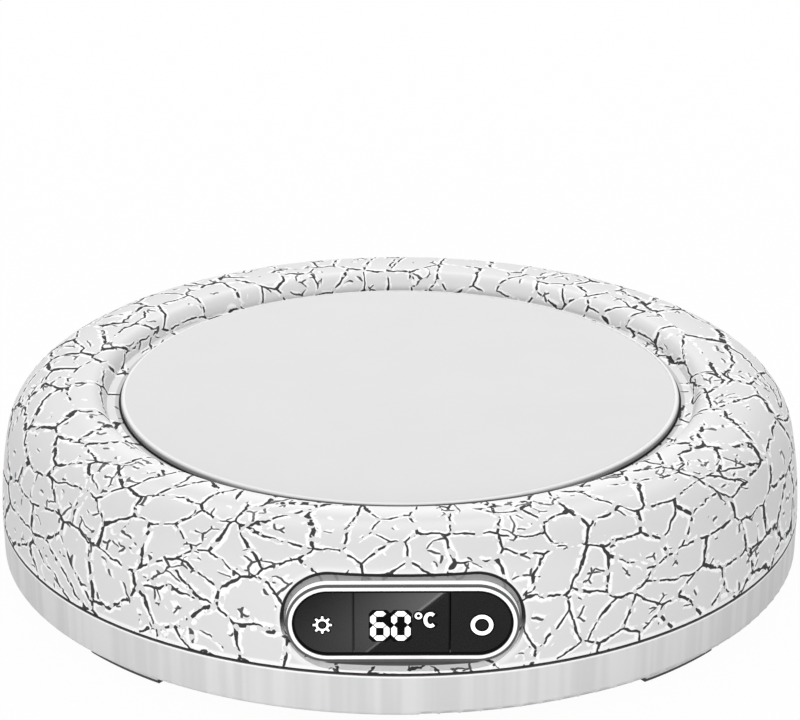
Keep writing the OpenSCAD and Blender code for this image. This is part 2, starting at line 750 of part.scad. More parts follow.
module panel_bezel() color(bezel_white) difference() {
    union() {
        facing_front(panel_y, pocket_back_y + join, panel_z) pill(bezel_w, bezel_h);
        facing_front(pocket_back_y, flange_back_y, panel_z) pill(flange_w, flange_h);
    }
    facing_front(panel_y - over, flange_back_y + over, panel_z) pill(opening_w, opening_h);
    facing_front(panel_y - over, panel_y + groove_depth, panel_z) difference() {
        pill(bezel_w - 2 * groove_lip, bezel_h - 2 * groove_lip);
        pill(bezel_w - 2 * (groove_lip + groove_w), bezel_h - 2 * (groove_lip + groove_w));
    }
}

module display_window() color(panel_black)
    facing_front(key_y, key_back_y, panel_z) square([window_w, key_h], center = true);

// The half of a shape that lies on one side, beyond the window's seam
module key_side(side, seam) {
    intersection() {
        children();
        translate([side > 0 ? seam : -seam - flange_w, -flange_h]) square([flange_w, 2 * flange_h]);
    }
}

module key_cap(side) color(panel_black) {
    lip_w = key_w + 2 * key_lip_w;
    lip_h = key_h + 2 * key_lip_w;
    hollow_w = key_w - 2 * key_skirt_t;
    hollow_h = key_h - 2 * key_skirt_t;
    lip_end_y = key_lip_y + key_lip_t;
    difference() {
        union() {
            facing_front(key_y, lip_end_y, panel_z) key_side(side, key_side_x) pill(key_w, key_h);
            facing_front(key_lip_y, lip_end_y, panel_z) key_side(side, key_side_x) pill(lip_w, lip_h);
        }
        facing_front(key_back_y, lip_end_y + over, panel_z)
            key_side(side, key_side_x + key_skirt_t) pill(hollow_w, hollow_h);
    }
    translate([side * switch_x, 0, 0]) facing_front(key_back_y - join, plunger_y, panel_z)
        circle(d = stem_d, $fn = SMALL);
}

module setting_key_cap() key_cap(-1);
module power_key_cap() key_cap(1);

module switch_plunger(side) color("#8c6f4a") translate([side * switch_x, 0, 0])
    facing_front(plunger_y, plunger_tip_y, panel_z) circle(d = plunger_d, $fn = SMALL);

module setting_switch_plunger() switch_plunger(-1);
module power_switch_plunger() switch_plunger(1);

module key_switch(side) color("#2a2c30") translate([side * switch_x, 0, 0]) difference() {
    facing_front(switch_top_y, board_y, panel_z) square(switch_w, center = true);
    facing_front(switch_top_y - over, plunger_tip_y + key_travel + plunger_room, panel_z)
        circle(d = plunger_d + 2 * plunger_gap, $fn = SMALL);
}

module setting_switch() key_switch(-1);
module power_switch() key_switch(1);

module digit_display() color("#e9e9e6") facing_front(key_back_y, board_y, panel_z)
    square([window_w - 2 * digit_block_margin, key_h - 2 * digit_block_margin], center = true);

module display_board() color(board_green) difference() {
    facing_front(board_y, board_back_y, panel_z) square([board_w, board_h], center = true);
    for (side = [-1, 1])
        translate([side * board_screw_x, 0, 0]) facing_front(board_y - over, board_back_y + over, panel_z)
            circle(d = board_screw_d + 2 * screw_gap, $fn = SMALL);
    rotate_extrude($fn = FINE) {
        box_outline(seat_r, seat_under_z - board_gap, well_wall_r + board_gap, crown_z);
        box_outline(lip_in_r - board_gap, foot_h, body_r, part_z + lip_root + board_gap);
    }
}

module display_board_screws() color(metal_grey) for (side = [-1, 1])
    translate([side * board_screw_x, board_back_y, panel_z]) rotate([90, 0, 0])
        screw(board_screw_d, board_screw_l);

module controller_chip() color("#222326")
    facing_front(board_back_y, board_back_y + chip_t, panel_z + board_h / 2 - chip_inset - chip_h / 2)
        square([chip_w, chip_h], center = true);

// Flat cable from the display board, level and then bent down onto the power board
module display_cable() color("#c9cbd0") {
    foot_y = cable_foot - power_d / 2;
    run_z = part_z + cable_rise;
    out_r = cable_bend_r + cable_t / 2;
    in_r = cable_bend_r - cable_t / 2;
    bend = [foot_y - cable_bend_r, run_z - cable_bend_r];
    translate([cable_w / 2, 0, 0]) rotate([90, 0, -90]) mirror([1, 0, 0]) linear_extrude(cable_w) {
        box_outline(board_back_y, run_z - cable_t / 2, bend[0], run_z + cable_t / 2);
        box_outline(foot_y - cable_t / 2, power_top_z, foot_y + cable_t / 2, bend[1]);
        translate(bend) intersection() {
            difference() {
                circle(r = out_r, $fn = SMALL);
                circle(r = in_r, $fn = SMALL);
            }
            square(2 * out_r);
        }
    }
}

// Power board and its parts

module on_power_board(at) {
    translate([at[0], at[1], power_top_z]) children();
}

module upright_box(size) {
    translate([-size[0] / 2, -size[1] / 2, 0]) cube(size);
}

module power_board() color(board_green) difference() {
    translate([0, 0, power_z]) upright_box([power_w, power_d, board_t]);
    for (x = [-standoff_x, standoff_x], y = [-standoff_y, standoff_y])
        translate([x, y, 0]) post(power_screw_d + 2 * screw_gap, power_z - over, power_top_z + over);
}

module power_board_screws() color(metal_grey)
    for (x = [-standoff_x, standoff_x], y = [-standoff_y, standoff_y])
        translate([x, y, power_top_z]) rotate([180, 0, 0]) screw(power_screw_d, power_screw_l);

module film_capacitor() color("#c9a23a") on_power_board(film_cap_at) upright_box(film_cap_size);

module smoothing_capacitors() color("#2c3f66") for (side = [-1, 1])
    on_power_board(cans_at + [side * can_pitch / 2, 0]) cylinder(d = can_d, h = can_h, $fn = SMALL);

module triac() color("#2a2a2c") on_power_board(triac_at) {
    upright_box(triac_size);
    difference() {
        translate([triac_size[0] / 2 - join, -triac_size[1] / 2, 0])
            cube([triac_tab_l + join, triac_size[1], triac_tab_t]);
        translate([(triac_size[0] + triac_tab_l) / 2, 0, 0]) post(triac_hole_d, -over, triac_tab_t + over);
    }
}

module mains_fuse() color("#d7dbdd") on_power_board(mains_fuse_at) {
    translate([0, 0, mains_fuse_cap_d / 2]) rotate([0, 90, 0]) {
        cylinder(d = mains_fuse_d, h = mains_fuse_l, center = true, $fn = SMALL);
        for (side = [-1, 1])
            translate([0, 0, side * (mains_fuse_l - mains_fuse_cap_l) / 2])
                cylinder(d = mains_fuse_cap_d, h = mains_fuse_cap_l, center = true, $fn = SMALL);
    }
}

module choke() color("#7a4a2a") on_power_board(choke_at) difference() {
    post(choke_d, 0, choke_h);
    post(choke_hole_d, -over, choke_h + over);
}

module terminal_block() color("#3f7f4a") on_power_board(terminal_at) difference() {
    upright_box(terminal_size);
    for (side = [-1, 1])
        translate([side * terminal_size[0] / 4, terminal_size[1] / 2 + over, terminal_size[2] / 2])
            rotate([90, 0, 0])
                cylinder(d = terminal_hole_d, h = terminal_hole_l + over, $fn = SMALL);
}

// Cord gland

module cord_gland() color(rubber_grey) {
    difference() {
        translate([0, 0, part_z]) {
            translate([0, gland_y, 0]) rotate([90, 0, 0]) linear_extrude(gland_y - gland_flange_y + join)
                arch(gland_w - 2 * gland_gap, gland_h - gland_gap);
            translate([0, gland_flange_y, 0]) rotate([90, 0, 0]) linear_extrude(gland_flange_t)
                arch(gland_w + 2 * gland_flange, gland_h + gland_flange);
        }
        translate([0, body_r + over, part_z + gland_h / 2]) rotate([90, 0, 0])
            cylinder(d = gland_bore_d, h = body_r, $fn = SMALL);
    }
}

top_cover();
base_shell();
heating_plate();
plate_gasket();
heater_mat();
insulation_pad();
clamp_plate();
clamp_screws();
thermistor();
thermal_fuse();
heater_leads();
sensor_leads();
panel_bezel();
display_window();
setting_key_cap();
power_key_cap();
setting_switch_plunger();
power_switch_plunger();
setting_switch();
power_switch();
digit_display();
display_board();
display_board_screws();
controller_chip();
display_cable();
power_board();
power_board_screws();
film_capacitor();
smoothing_capacitors();
triac();
mains_fuse();
choke();
terminal_block();
cord_gland();
case_screws();
front_left_foot();
front_right_foot();
rear_left_foot();
rear_right_foot();
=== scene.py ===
# %% [markdown]
# # Warming plate
# The CAD model arrives as a frame of named nodes, already in place. This script gives it its looks:
# a camera and a small studio, materials made of shader nodes, and the thin pieces that CAD leaves out,
# such as the lit digits and the signs on the keys.

# %% [markdown]
# Blender works in metres, but the sizes here are written in millimetres and multiplied by `MM`.

# %% Load the imported model
import json
import math

import bmesh
import bpy
import numpy as np
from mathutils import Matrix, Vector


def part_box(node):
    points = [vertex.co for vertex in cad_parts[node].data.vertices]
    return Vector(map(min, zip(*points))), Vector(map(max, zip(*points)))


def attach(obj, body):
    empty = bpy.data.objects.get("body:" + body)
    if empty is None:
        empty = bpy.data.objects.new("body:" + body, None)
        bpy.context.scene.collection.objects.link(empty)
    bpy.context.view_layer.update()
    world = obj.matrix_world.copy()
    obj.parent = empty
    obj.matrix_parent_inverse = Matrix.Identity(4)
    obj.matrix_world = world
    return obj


MM = 0.001
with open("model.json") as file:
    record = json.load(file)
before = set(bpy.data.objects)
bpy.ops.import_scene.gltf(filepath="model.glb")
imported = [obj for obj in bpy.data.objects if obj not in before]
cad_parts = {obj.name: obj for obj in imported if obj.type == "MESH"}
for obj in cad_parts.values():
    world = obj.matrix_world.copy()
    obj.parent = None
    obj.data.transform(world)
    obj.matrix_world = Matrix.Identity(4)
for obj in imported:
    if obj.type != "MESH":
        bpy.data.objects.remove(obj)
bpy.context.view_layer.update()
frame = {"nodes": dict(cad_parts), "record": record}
nodes = frame["nodes"]
scene = bpy.context.scene
print("nodes in the frame:", len(nodes))

# %% [markdown]
# The pieces and patterns below are placed by a few heights and depths of the CAD model. They could be
# typed in again, but reading them off the nodes' boxes keeps the two in step.

# %% Places read off the CAD nodes
RIM_REACH = 0.5
LEVEL = 0.01

bezel_low, bezel_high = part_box("panel_bezel")
panel_z = (bezel_low.z + bezel_high.z) / 2 / MM
panel_y = bezel_low.y / MM
key_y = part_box("setting_key_cap")[0].y / MM
plate_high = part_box("heating_plate")[1]
plate_top = plate_high.z / MM
plate_r = plate_high.x / MM
rim_r = plate_r + RIM_REACH
cover_mesh = nodes["top_cover"].data
cover_points = np.empty(len(cover_mesh.vertices) * 3)
cover_mesh.vertices.foreach_get("co", cover_points)
cover_points = cover_points.reshape(-1, 3) / MM
crown_z = float(cover_points[:, 2].max())
crown_points = cover_points[cover_points[:, 2] > crown_z - LEVEL]
crown_r = float(np.hypot(crown_points[:, 0], crown_points[:, 1]).mean())
print("crown %.2f high at radius %.2f, plate top at %.2f" % (crown_z, crown_r, plate_top))
print("panel middle %.2f high, face at %.2f, keys at %.2f" % (panel_z, panel_y, key_y))

# %% [markdown]
# The camera sits in front of the panel and looks down at the plate. Its distance, height and lens come
# from the curves of the parting line, the base's edge and the plate's edge, which are all circles seen
# at a slant.

# %% Camera
part_z = 8.8
camera_distance = 546.5
camera_height_angle = math.radians(24.364)
camera_pitch = math.radians(22.066)
camera_orbit = math.radians(0.37)
lens_mm = 149.19

level = camera_distance * math.cos(camera_height_angle)
camera_data = bpy.data.cameras.new("camera")
camera_data.lens = lens_mm
camera_data.sensor_width = 36.0
camera_data.sensor_fit = "HORIZONTAL"
camera_data.clip_end = 20.0
camera = bpy.data.objects.new("camera", camera_data)
camera.location = (
    -level * math.sin(camera_orbit) * MM,
    -level * math.cos(camera_orbit) * MM,
    (part_z + camera_distance * math.sin(camera_height_angle)) * MM,
)
camera.rotation_euler = (math.pi / 2 - camera_pitch, 0.0, -camera_orbit)
scene.collection.objects.link(camera)
scene.camera = camera
scene.view_settings.view_transform = "Standard"
print("camera %.0f mm from the parting line's middle" % camera_distance)

# %% [markdown]
# Node trees are easier to read when each line makes one node. `join` either links a socket or sets a
# number, so the helpers below take both. Textures work on object coordinates, turned into millimetres.

# %% Helpers for node trees
FLOAT = "NodeSocketFloat"
VECTOR = "NodeSocketVector"


def join(tree, target, value):
    """Link value into the target socket if it is a socket, and otherwise set it there."""
    if isinstance(value, bpy.types.NodeSocket):
        tree.links.new(value, target)
    else:
        target.default_value = value


def calc(tree, operation, a, b=0.0):
    """One Math node."""
    node = tree.nodes.new("ShaderNodeMath")
    node.operation = operation
    join(tree, node.inputs[0], a)
    join(tree, node.inputs[1], b)
    return node.outputs[0]


def product(tree, value, *factors):
    """A value times each of the factors."""
    for factor in factors:
        value = calc(tree, "MULTIPLY", value, factor)
    return value


def largest(tree, value, *others):
    """The largest of two or more values."""
    for other in others:
        value = calc(tree, "MAXIMUM", value, other)
    return value


def remainder(tree, value):
    """What a value lacks to 1."""
    return calc(tree, "SUBTRACT", 1.0, value)


def length(tree, a, b):
    """The length of a flat vector: the root of a * a + b * b."""
    return calc(tree, "SQRT", calc(tree, "ADD", product(tree, a, a), product(tree, b, b)))


def move(tree, operation, a, b):
    """One Vector Math node with two vectors."""
    node = tree.nodes.new("ShaderNodeVectorMath")
    node.operation = operation
    join(tree, node.inputs[0], a)
    join(tree, node.inputs[1], b)
    return node.outputs[0]


def stretch(tree, vector, factor):
    """A vector times a number."""
    node = tree.nodes.new("ShaderNodeVectorMath")
    node.operation = "SCALE"
    join(tree, node.inputs[0], vector)
    join(tree, node.inputs["Scale"], factor)
    return node.outputs[0]


def split(tree, vector):
    """The x, y and z of a vector."""
    node = tree.nodes.new("ShaderNodeSeparateXYZ")
    join(tree, node.inputs[0], vector)
    return node.outputs[0], node.outputs[1], node.outputs[2]


def bundle(tree, x, y, z):
    """A vector from its x, y and z."""
    node = tree.nodes.new("ShaderNodeCombineXYZ")
    join(tree, node.inputs[0], x)
    join(tree, node.inputs[1], y)
    join(tree, node.inputs[2], z)
    return node.outputs[0]


def ramp(tree, value, low, high, to_low=0.0, to_high=1.0, smooth=True):
    """Map Range from low..high to to_low..to_high, flat outside, with soft ends where smooth is true."""
    node = tree.nodes.new("ShaderNodeMapRange")
    node.interpolation_type = "SMOOTHSTEP" if smooth else "LINEAR"
    join(tree, node.inputs["Value"], value)
    join(tree, node.inputs["From Min"], low)
    join(tree, node.inputs["From Max"], high)
    join(tree, node.inputs["To Min"], to_low)
    join(tree, node.inputs["To Max"], to_high)
    return node.outputs["Result"]


def below(tree, value, edge, soft):
    """1 where the value is below the edge, falling to 0 over the soft width above it."""
    return ramp(tree, value, edge, edge + soft, 1.0, 0.0)


def blend_colour(tree, factor, a, b):
    """Mix two colours."""
    node = tree.nodes.new("ShaderNodeMix")
    node.data_type = "RGBA"
    join(tree, node.inputs["Factor"], factor)
    join(tree, node.inputs["A"], a)
    join(tree, node.inputs["B"], b)
    return node.outputs["Result"]


def noise(tree, vector, scale, detail=2.0, roughness=0.5):
    """Noise texture: its value and its colour."""
    node = tree.nodes.new("ShaderNodeTexNoise")
    join(tree, node.inputs["Vector"], vector)
    node.inputs["Scale"].default_value = scale
    node.inputs["Detail"].default_value = detail
    node.inputs["Roughness"].default_value = roughness
    return node.outputs["Fac"], node.outputs["Color"]


def sway(tree, vector, scale, detail, amount):
    """A smooth random shift, up to about half the amount each way."""
    centred = move(tree, "SUBTRACT", noise(tree, vector, scale, detail)[1], (0.5, 0.5, 0.5))
    return stretch(tree, centred, amount)


def border(tree, vector, size):
    """Distance, in millimetres, from the nearest border between flat Voronoi cells of the given size."""
    node = tree.nodes.new("ShaderNodeTexVoronoi")
    node.voronoi_dimensions = "2D"
    node.feature = "DISTANCE_TO_EDGE"
    join(tree, node.inputs["Vector"], vector)
    node.inputs["Scale"].default_value = 1.0 / size
    return product(tree, node.outputs["Distance"], size)


def new_group(name, inputs, outputs):
    """An empty node group with float or vector sockets: the tree, its input node and its output node."""
    tree = bpy.data.node_groups.new(name, "ShaderNodeTree")
    for label, kind in inputs:
        tree.interface.new_socket(label, in_out="INPUT", socket_type=kind)
    for label, kind in outputs:
        tree.interface.new_socket(label, in_out="OUTPUT", socket_type=kind)
    return tree, tree.nodes.new("NodeGroupInput"), tree.nodes.new("NodeGroupOutput")


def use_group(tree, group, **values):
    """Place a node group in a tree and fill in its inputs."""
    node = tree.nodes.new("ShaderNodeGroup")
    node.node_tree = group
    for label, value in values.items():
        join(tree, node.inputs[label], value)
    return node.outputs


def place(tree):
    """Object coordinates in millimetres."""
    return stretch(tree, tree.nodes.new("ShaderNodeTexCoord").outputs["Object"], 1.0 / MM)


# %% [markdown]
# The real cover has a crackle paint: the top coat shrinks as it dries and tears open over a dark
# ground. The tears run almost straight, meet at corners and leave plates a few millimetres wide. Voronoi
# cells have just such borders. They could fill space, but where a wall of a cell grazes the surface its
# line would swell to a blot, so the round cover is laid out flat first: x runs round the axis, and y
# runs up the side, over the crown and on down into the dish. The real pattern is a little longer from
# front to back than it is wide, so the layout is squeezed round the two sides, towards the middle at the
# front and the back, and down the near wall of the dish. It has one seam, at the back, and a crack of
# its own hides it.

# %% Node group: the cover laid out flat
LAYOUT_R = 58.0
SIDE_SQUEEZE = 0.5
CROWN_SQUEEZE = 0.3
CROWN_MIDDLE = 54.0
DISH_SQUEEZE = 0.5

layout, layout_in, layout_out = new_group(
    "layout",
    [("Place", VECTOR)],
    [("Flat", VECTOR), ("Seam", FLOAT)],
)
x, y, z = split(layout, layout_in.outputs["Place"])
radius = length(layout, x, y)
angle = calc(layout, "ARCTAN2", x, product(layout, y, -1.0))
facing = calc(layout, "COSINE", angle)

ripple = product(layout, calc(layout, "SINE", product(layout, angle, 2.0)), SIDE_SQUEEZE / 4)
squeezed = calc(layout, "ADD", product(layout, angle, 1.0 - SIDE_SQUEEZE / 2), ripple)
along = product(layout, squeezed, LAYOUT_R)

in_dish = calc(layout, "LESS_THAN", radius, crown_r)
below_crown = calc(layout, "SUBTRACT", crown_z, z)
unfolded = calc(layout, "ADD", z, product(layout, in_dish, below_crown, 2.0))
frontal = calc(layout, "POWER", facing, 2.0)
kept = remainder(layout, product(layout, frontal, CROWN_SQUEEZE))
inward = calc(layout, "SUBTRACT", CROWN_MIDDLE, radius)
upward = calc(layout, "ADD", unfolded, product(layout, inward, kept))

nearness = largest(layout, facing, 0.0)
past_crown = calc(layout, "SUBTRACT", crown_r, radius)
down_dish = calc(layout, "ADD", below_crown, product(layout, past_crown, kept))
taken = product(layout, down_dish, in_dish, DISH_SQUEEZE, nearness)
upward = calc(layout, "SUBTRACT", upward, taken)
join(layout, layout_out.inputs["Flat"], bundle(layout, along, upward, 0.0))

half_turn = math.pi * (1.0 - SIDE_SQUEEZE / 2) * LAYOUT_R
to_seam = calc(layout, "SUBTRACT", half_turn, calc(layout, "ABSOLUTE", along))
join(layout, layout_out.inputs["Seam"], to_seam)

# %% [markdown]
# `fissure` turns a distance from a border into a line. Its width comes from outside, so that noise can
# let a line swell, thin out and stop. `Line` is 1 inside the line, and `Lip` is 1 in the raised edge
# beside it, which the cover paints bright as a highlight.

# %% Node group: fissure
EDGE_SOFT = 0.05
LIP_W = 0.29
LIP_SOFT = 0.34
LINE_SHOWN = (0.07, 0.1)
LIP_SHOWN = (0.08, 0.14)

fissure, fissure_in, fissure_out = new_group(
    "fissure",
    [("Distance", FLOAT), ("Width", FLOAT)],
    [("Line", FLOAT), ("Lip", FLOAT)],
)
width = fissure_in.outputs["Width"]
outside = calc(fissure, "SUBTRACT", fissure_in.outputs["Distance"], width)
core = ramp(fissure, outside, -EDGE_SOFT, EDGE_SOFT, 1.0, 0.0)
shown = ramp(fissure, width, *LINE_SHOWN)
join(fissure, fissure_out.inputs["Line"], product(fissure, core, shown))
# The lip is a raised edge; its brightness on the cover is a painted highlight.
curl = below(fissure, outside, LIP_W, LIP_SOFT)
lip_highlight = ramp(fissure, width, *LIP_SHOWN)
join(fissure, fissure_out.inputs["Lip"], product(fissure, curl, lip_highlight))

# %% [markdown]
# Three layers of fissures make the crackle. The main one has wide lines with many short gaps, because
# the coat holds on here and there. The branches are finer and fill some zones with small plates. The
# last layer is shown only in spots, which leaves short single dashes. The sways are given as the
# noise's scale, its detail and the amount, and the pairs after them are where noise starts to act and
# where it acts in full. The noises that have a place of their own are given by their shift and scale.

# %% Node group: crackle
CELL = 6.0
BRANCH_CELL = 3.0
DASH_CELL = 3.8
MAIN_HALF = (0.2, 0.26)
BRANCH_HALF = 0.18
DASH_HALF = 0.19
SIDE_X = (30.0, 60.0)
SIDE_GAIN = (0.95, 1.2)
DRIFT = (0.05, 0.0, 7.0)
BEND = (0.24, 1.0, 1.9)
WOBBLE = (0.8, 1.0, 0.6)
SWELL = (0.34, 0.66)
BREAKS = (0.4, 0.47)
ZONES = (0.57, 0.62)
THINNING = (0.43, 0.51)
DASH_SPOTS = (0.61, 0.66)
BREAK_NOISE = ((31.0, 7.0, 13.0), 0.8)
ZONE_NOISE = ((5.0, 47.0, 23.0), 0.12)
THINNING_NOISE = ((61.0, 17.0, 3.0), 0.5)
DASH_NOISE = ((11.0, 71.0, 37.0), 0.34)
SWELL_SCALE = 0.35
NOISE_SHIFT = (0.0, 0.0, 230.0)
CELL_SHIFT = (71.0, 23.0, 0.0)
BRANCH_SHIFT = (3.1, 8.7, 0.0)
DASH_SHIFT = (17.3, 2.9, 0.0)
FINE_LIP = 0.85
FINE_DEPTH = 0.6
LIP_HEIGHT = 0.35

crackle, crackle_in, crackle_out = new_group(
    "crackle",
    [("Place", VECTOR)],
    [("Line", FLOAT), ("Branch", FLOAT), ("Lip", FLOAT), ("Height", FLOAT)],
)
real_spot = crackle_in.outputs["Place"]
spot = move(crackle, "ADD", real_spot, NOISE_SHIFT)
drift = sway(crackle, spot, *DRIFT)
bend = sway(crackle, spot, *BEND)
wobble = sway(crackle, spot, *WOBBLE)
swayed = move(crackle, "ADD", move(crackle, "ADD", drift, bend), wobble)
flat = use_group(crackle, layout, Place=move(crackle, "ADD", real_spot, swayed))


def patches(shift, scale):
    """Cloudy noise of the given scale, taken from a place of its own in the texture."""
    return noise(crackle, move(crackle, "ADD", spot, shift), scale, 1.0)[0]


def cracks(shift, size, half_width):
    """Fissures along the borders of cells of the given size, taken from a place of their own."""
    distance = border(crackle, move(crackle, "ADD", flat["Flat"], shift), size)
    return use_group(crackle, fissure, Distance=distance, Width=half_width)


swell = noise(crackle, spot, SWELL_SCALE)[0]
breaks = patches(*BREAK_NOISE)
zones = patches(*ZONE_NOISE)
thinning = patches(*THINNING_NOISE)
dash_spots = patches(*DASH_NOISE)

main = border(crackle, move(crackle, "ADD", flat["Flat"], CELL_SHIFT), CELL)
main = calc(crackle, "MINIMUM", main, flat["Seam"])
sideways = calc(crackle, "ABSOLUTE", split(crackle, real_spot)[0])
main_width = product(
    crackle,
    ramp(crackle, swell, *SWELL, *MAIN_HALF),
    ramp(crackle, breaks, *BREAKS),
    ramp(crackle, sideways, *SIDE_X, *SIDE_GAIN),
)
main_cracks = use_group(crackle, fissure, Distance=main, Width=main_width)

in_zone = ramp(crackle, zones, *ZONES)
branch_width = product(crackle, in_zone, ramp(crackle, thinning, *THINNING), BRANCH_HALF)
branches = cracks(BRANCH_SHIFT, BRANCH_CELL, branch_width)
dash_width = product(crackle, ramp(crackle, dash_spots, *DASH_SPOTS), DASH_HALF)
dashes = cracks(DASH_SHIFT, DASH_CELL, dash_width)

fine = largest(crackle, branches["Line"], dashes["Line"])
fine_lip = largest(crackle, branches["Lip"], dashes["Lip"])
lip = largest(crackle, main_cracks["Lip"], product(crackle, fine_lip, FINE_LIP))
depth = largest(crackle, main_cracks["Line"], product(crackle, fine, FINE_DEPTH))
height = calc(crackle, "SUBTRACT", product(crackle, lip, LIP_HEIGHT), depth)
join(crackle, crackle_out.inputs["Line"], main_cracks["Line"])
join(crackle, crackle_out.inputs["Branch"], fine)
join(crackle, crackle_out.inputs["Lip"], lip)
join(crackle, crackle_out.inputs["Height"], height)
print("crackle nodes:", len(crackle.nodes))

# %% [markdown]
# The panel and its pocket are pill shapes: a bar with round ends. `pill` gives the distance outside such
# a shape, which marks its rim, its wall or its inside, whatever the piece.

# %% Node group: pill
pill, pill_in, pill_out = new_group(
    "pill",
    [("Place", VECTOR), ("Middle", FLOAT), ("Straight", FLOAT), ("Radius", FLOAT)],
    [("Distance", FLOAT)],
)
x, _, z = split(pill, pill_in.outputs["Place"])
past = calc(pill, "SUBTRACT", calc(pill, "ABSOLUTE", x), pill_in.outputs["Straight"])
rise = calc(pill, "SUBTRACT", z, pill_in.outputs["Middle"])
reach = length(pill, largest(pill, past, 0.0), rise)
join(pill, pill_out.inputs["Distance"], calc(pill, "SUBTRACT", reach, pill_in.outputs["Radius"]))

# %% [markdown]
# `streaks` squeezes the height out of the noise, so that the pattern runs up and down as soft bands, like
# the flow marks in a moulded band. `mottle` is plain cloudy noise in two sizes, for slight changes of
# colour and gloss.

# %% Node groups: streaks and mottle
STREAK_SQUASH = (1.0, 1.0, 0.02)
STREAK_SCALE = 0.3
CLOUD_SCALE = 0.09
GRAIN_SCALE = 3.0

streaks, streaks_in, streaks_out = new_group("streaks", [("Place", VECTOR)], [("Value", FLOAT)])
flat_place = move(streaks, "MULTIPLY", streaks_in.outputs["Place"], STREAK_SQUASH)
streak = noise(streaks, flat_place, STREAK_SCALE, roughness=0.6)[0]
join(streaks, streaks_out.inputs["Value"], streak)

mottle, mottle_in, mottle_out = new_group(
    "mottle",
    [("Place", VECTOR)],
    [("Cloud", FLOAT), ("Grain", FLOAT)],
)
cloud = noise(mottle, mottle_in.outputs["Place"], CLOUD_SCALE, 3.0)[0]
grain = noise(mottle, mottle_in.outputs["Place"], GRAIN_SCALE)[0]
join(mottle, mottle_out.inputs["Cloud"], cloud)
join(mottle, mottle_out.inputs["Grain"], grain)

# %% [markdown]
# Each material keeps its own Principled shader. Values that are the same all over are set on its sockets,
# and only what changes over the surface comes from the groups. `over` lays one neutral colour on another,
# so a surface with several marks is a short list of such lines, from the ground up. A bump is given by
# its depth in millimetres and its strength.

# %% Helpers for materials
GRAIN_DEPTH = 0.05


def new_material(name, roughness, metallic=0.0, ior=1.5):
    """A material with one Principled shader: the material, its tree and the shader."""
    material = bpy.data.materials.new(name)
    material.use_nodes = True
    tree = material.node_tree
    shader = tree.nodes["Principled BSDF"]
    shader.inputs["Roughness"].default_value = roughness
    shader.inputs["Metallic"].default_value = metallic
    shader.inputs["IOR"].default_value = ior
    return material, tree, shader


def raise_bumps(tree, shader, height, distance_mm, strength):
    """Feed a height through a Bump node into the shader's normal."""
    node = tree.nodes.new("ShaderNodeBump")
    node.inputs["Distance"].default_value = distance_mm * MM
    node.inputs["Strength"].default_value = strength
    join(tree, node.inputs["Height"], height)
    join(tree, shader.inputs["Normal"], node.outputs["Normal"])


def grey(value):
    """A neutral colour."""
    return (value, value, value, 1.0)


def over(tree, ground, mask, value):
    """The ground with a neutral colour laid over it where the mask is 1."""
    return blend_colour(tree, mask, ground, grey(value))


def moulded(name, dark, light, roughness, bump=0.15, metallic=0.0, ior=1.5):
    """A plain material that drifts between two close colours, with a fine grain in its surface."""
    material, tree, shader = new_material(name, roughness, metallic, ior)
    clouds = use_group(tree, mottle, Place=place(tree))
    drifting = blend_colour(tree, clouds["Cloud"], (*dark, 1.0), (*light, 1.0))
    join(tree, shader.inputs["Base Color"], drifting)
    raise_bumps(tree, shader, clouds["Grain"], GRAIN_DEPTH, bump)
    return material


# %% [markdown]
# The cover is a satin white with the crackle torn through it. The pocket behind the bezel and the ledge
# round the plate are greyed as painted shade. The pocket's rim, the shelf under the bezel, the groove of
# the parting line and a line round the plate are painted as dark as the cracks, as painted shadow lines.
# Beside the rim and the groove a bright lip is painted as a highlight, and a painted highlight lies
# inside the crown's inner edge too, most of all at the front.

# %% Material: cover
SATIN = 0.42
DULL = 0.9
PAINT = 0.69
LIP_HIGHLIGHT = 0.96
POCKET_SHADE = 0.29
LEDGE_SHADE = 0.52
BRANCH_DARK = 0.07
LINE_DARK = 0.04
GROOVE_DARK = 0.12
SHADOW_LINE_DARK = 0.012
FRONT_Y = -45.0
FRONT_SOFT = 1.0
POCKET_STRAIGHT = 10.425
POCKET_RADIUS = 7.225
POCKET_RAISE = 0.775
POCKET_INSIDE = (-0.3, -0.05)
POCKET_Z = (-4.0, -1.0)
POCKET_LEAST = 0.3
POCKET_FAINT = 0.35
RIM_LINE_W = 0.34
RIM_LINE_IN = 0.16
RIM_LINE_SOFT = 0.1
RIM_LINE_Z = (-5.0, 1.0)
SHELF_Y = 0.95
SHELF_X = 11.0
SHELF_Z = -6.0
SHELF_SOFT = 0.05
SHELF_X_SOFT = 1.0
SHELF_Z_SOFT = 0.5
LEDGE_LINE_W = 0.26
LEDGE_LINE_SOFT = 0.12
LEDGE_W = 0.85
LEDGE_SOFT = 0.15
JOINT_H = 0.3
JOINT_SOFT = 0.08
EDGE_HIGHLIGHT_W = 0.5
EDGE_SHARE = 0.8
POCKET_HIGHLIGHT = 0.6
DISH_HIGHLIGHT_R = (5.5, 9.5)
DISH_HIGHLIGHT = 0.75
DISH_HIGHLIGHT_Y = (-42.0, -5.0)
DISH_HIGHLIGHT_BACK = 0.25
CRACK_BUMP = (0.1, 0.4)

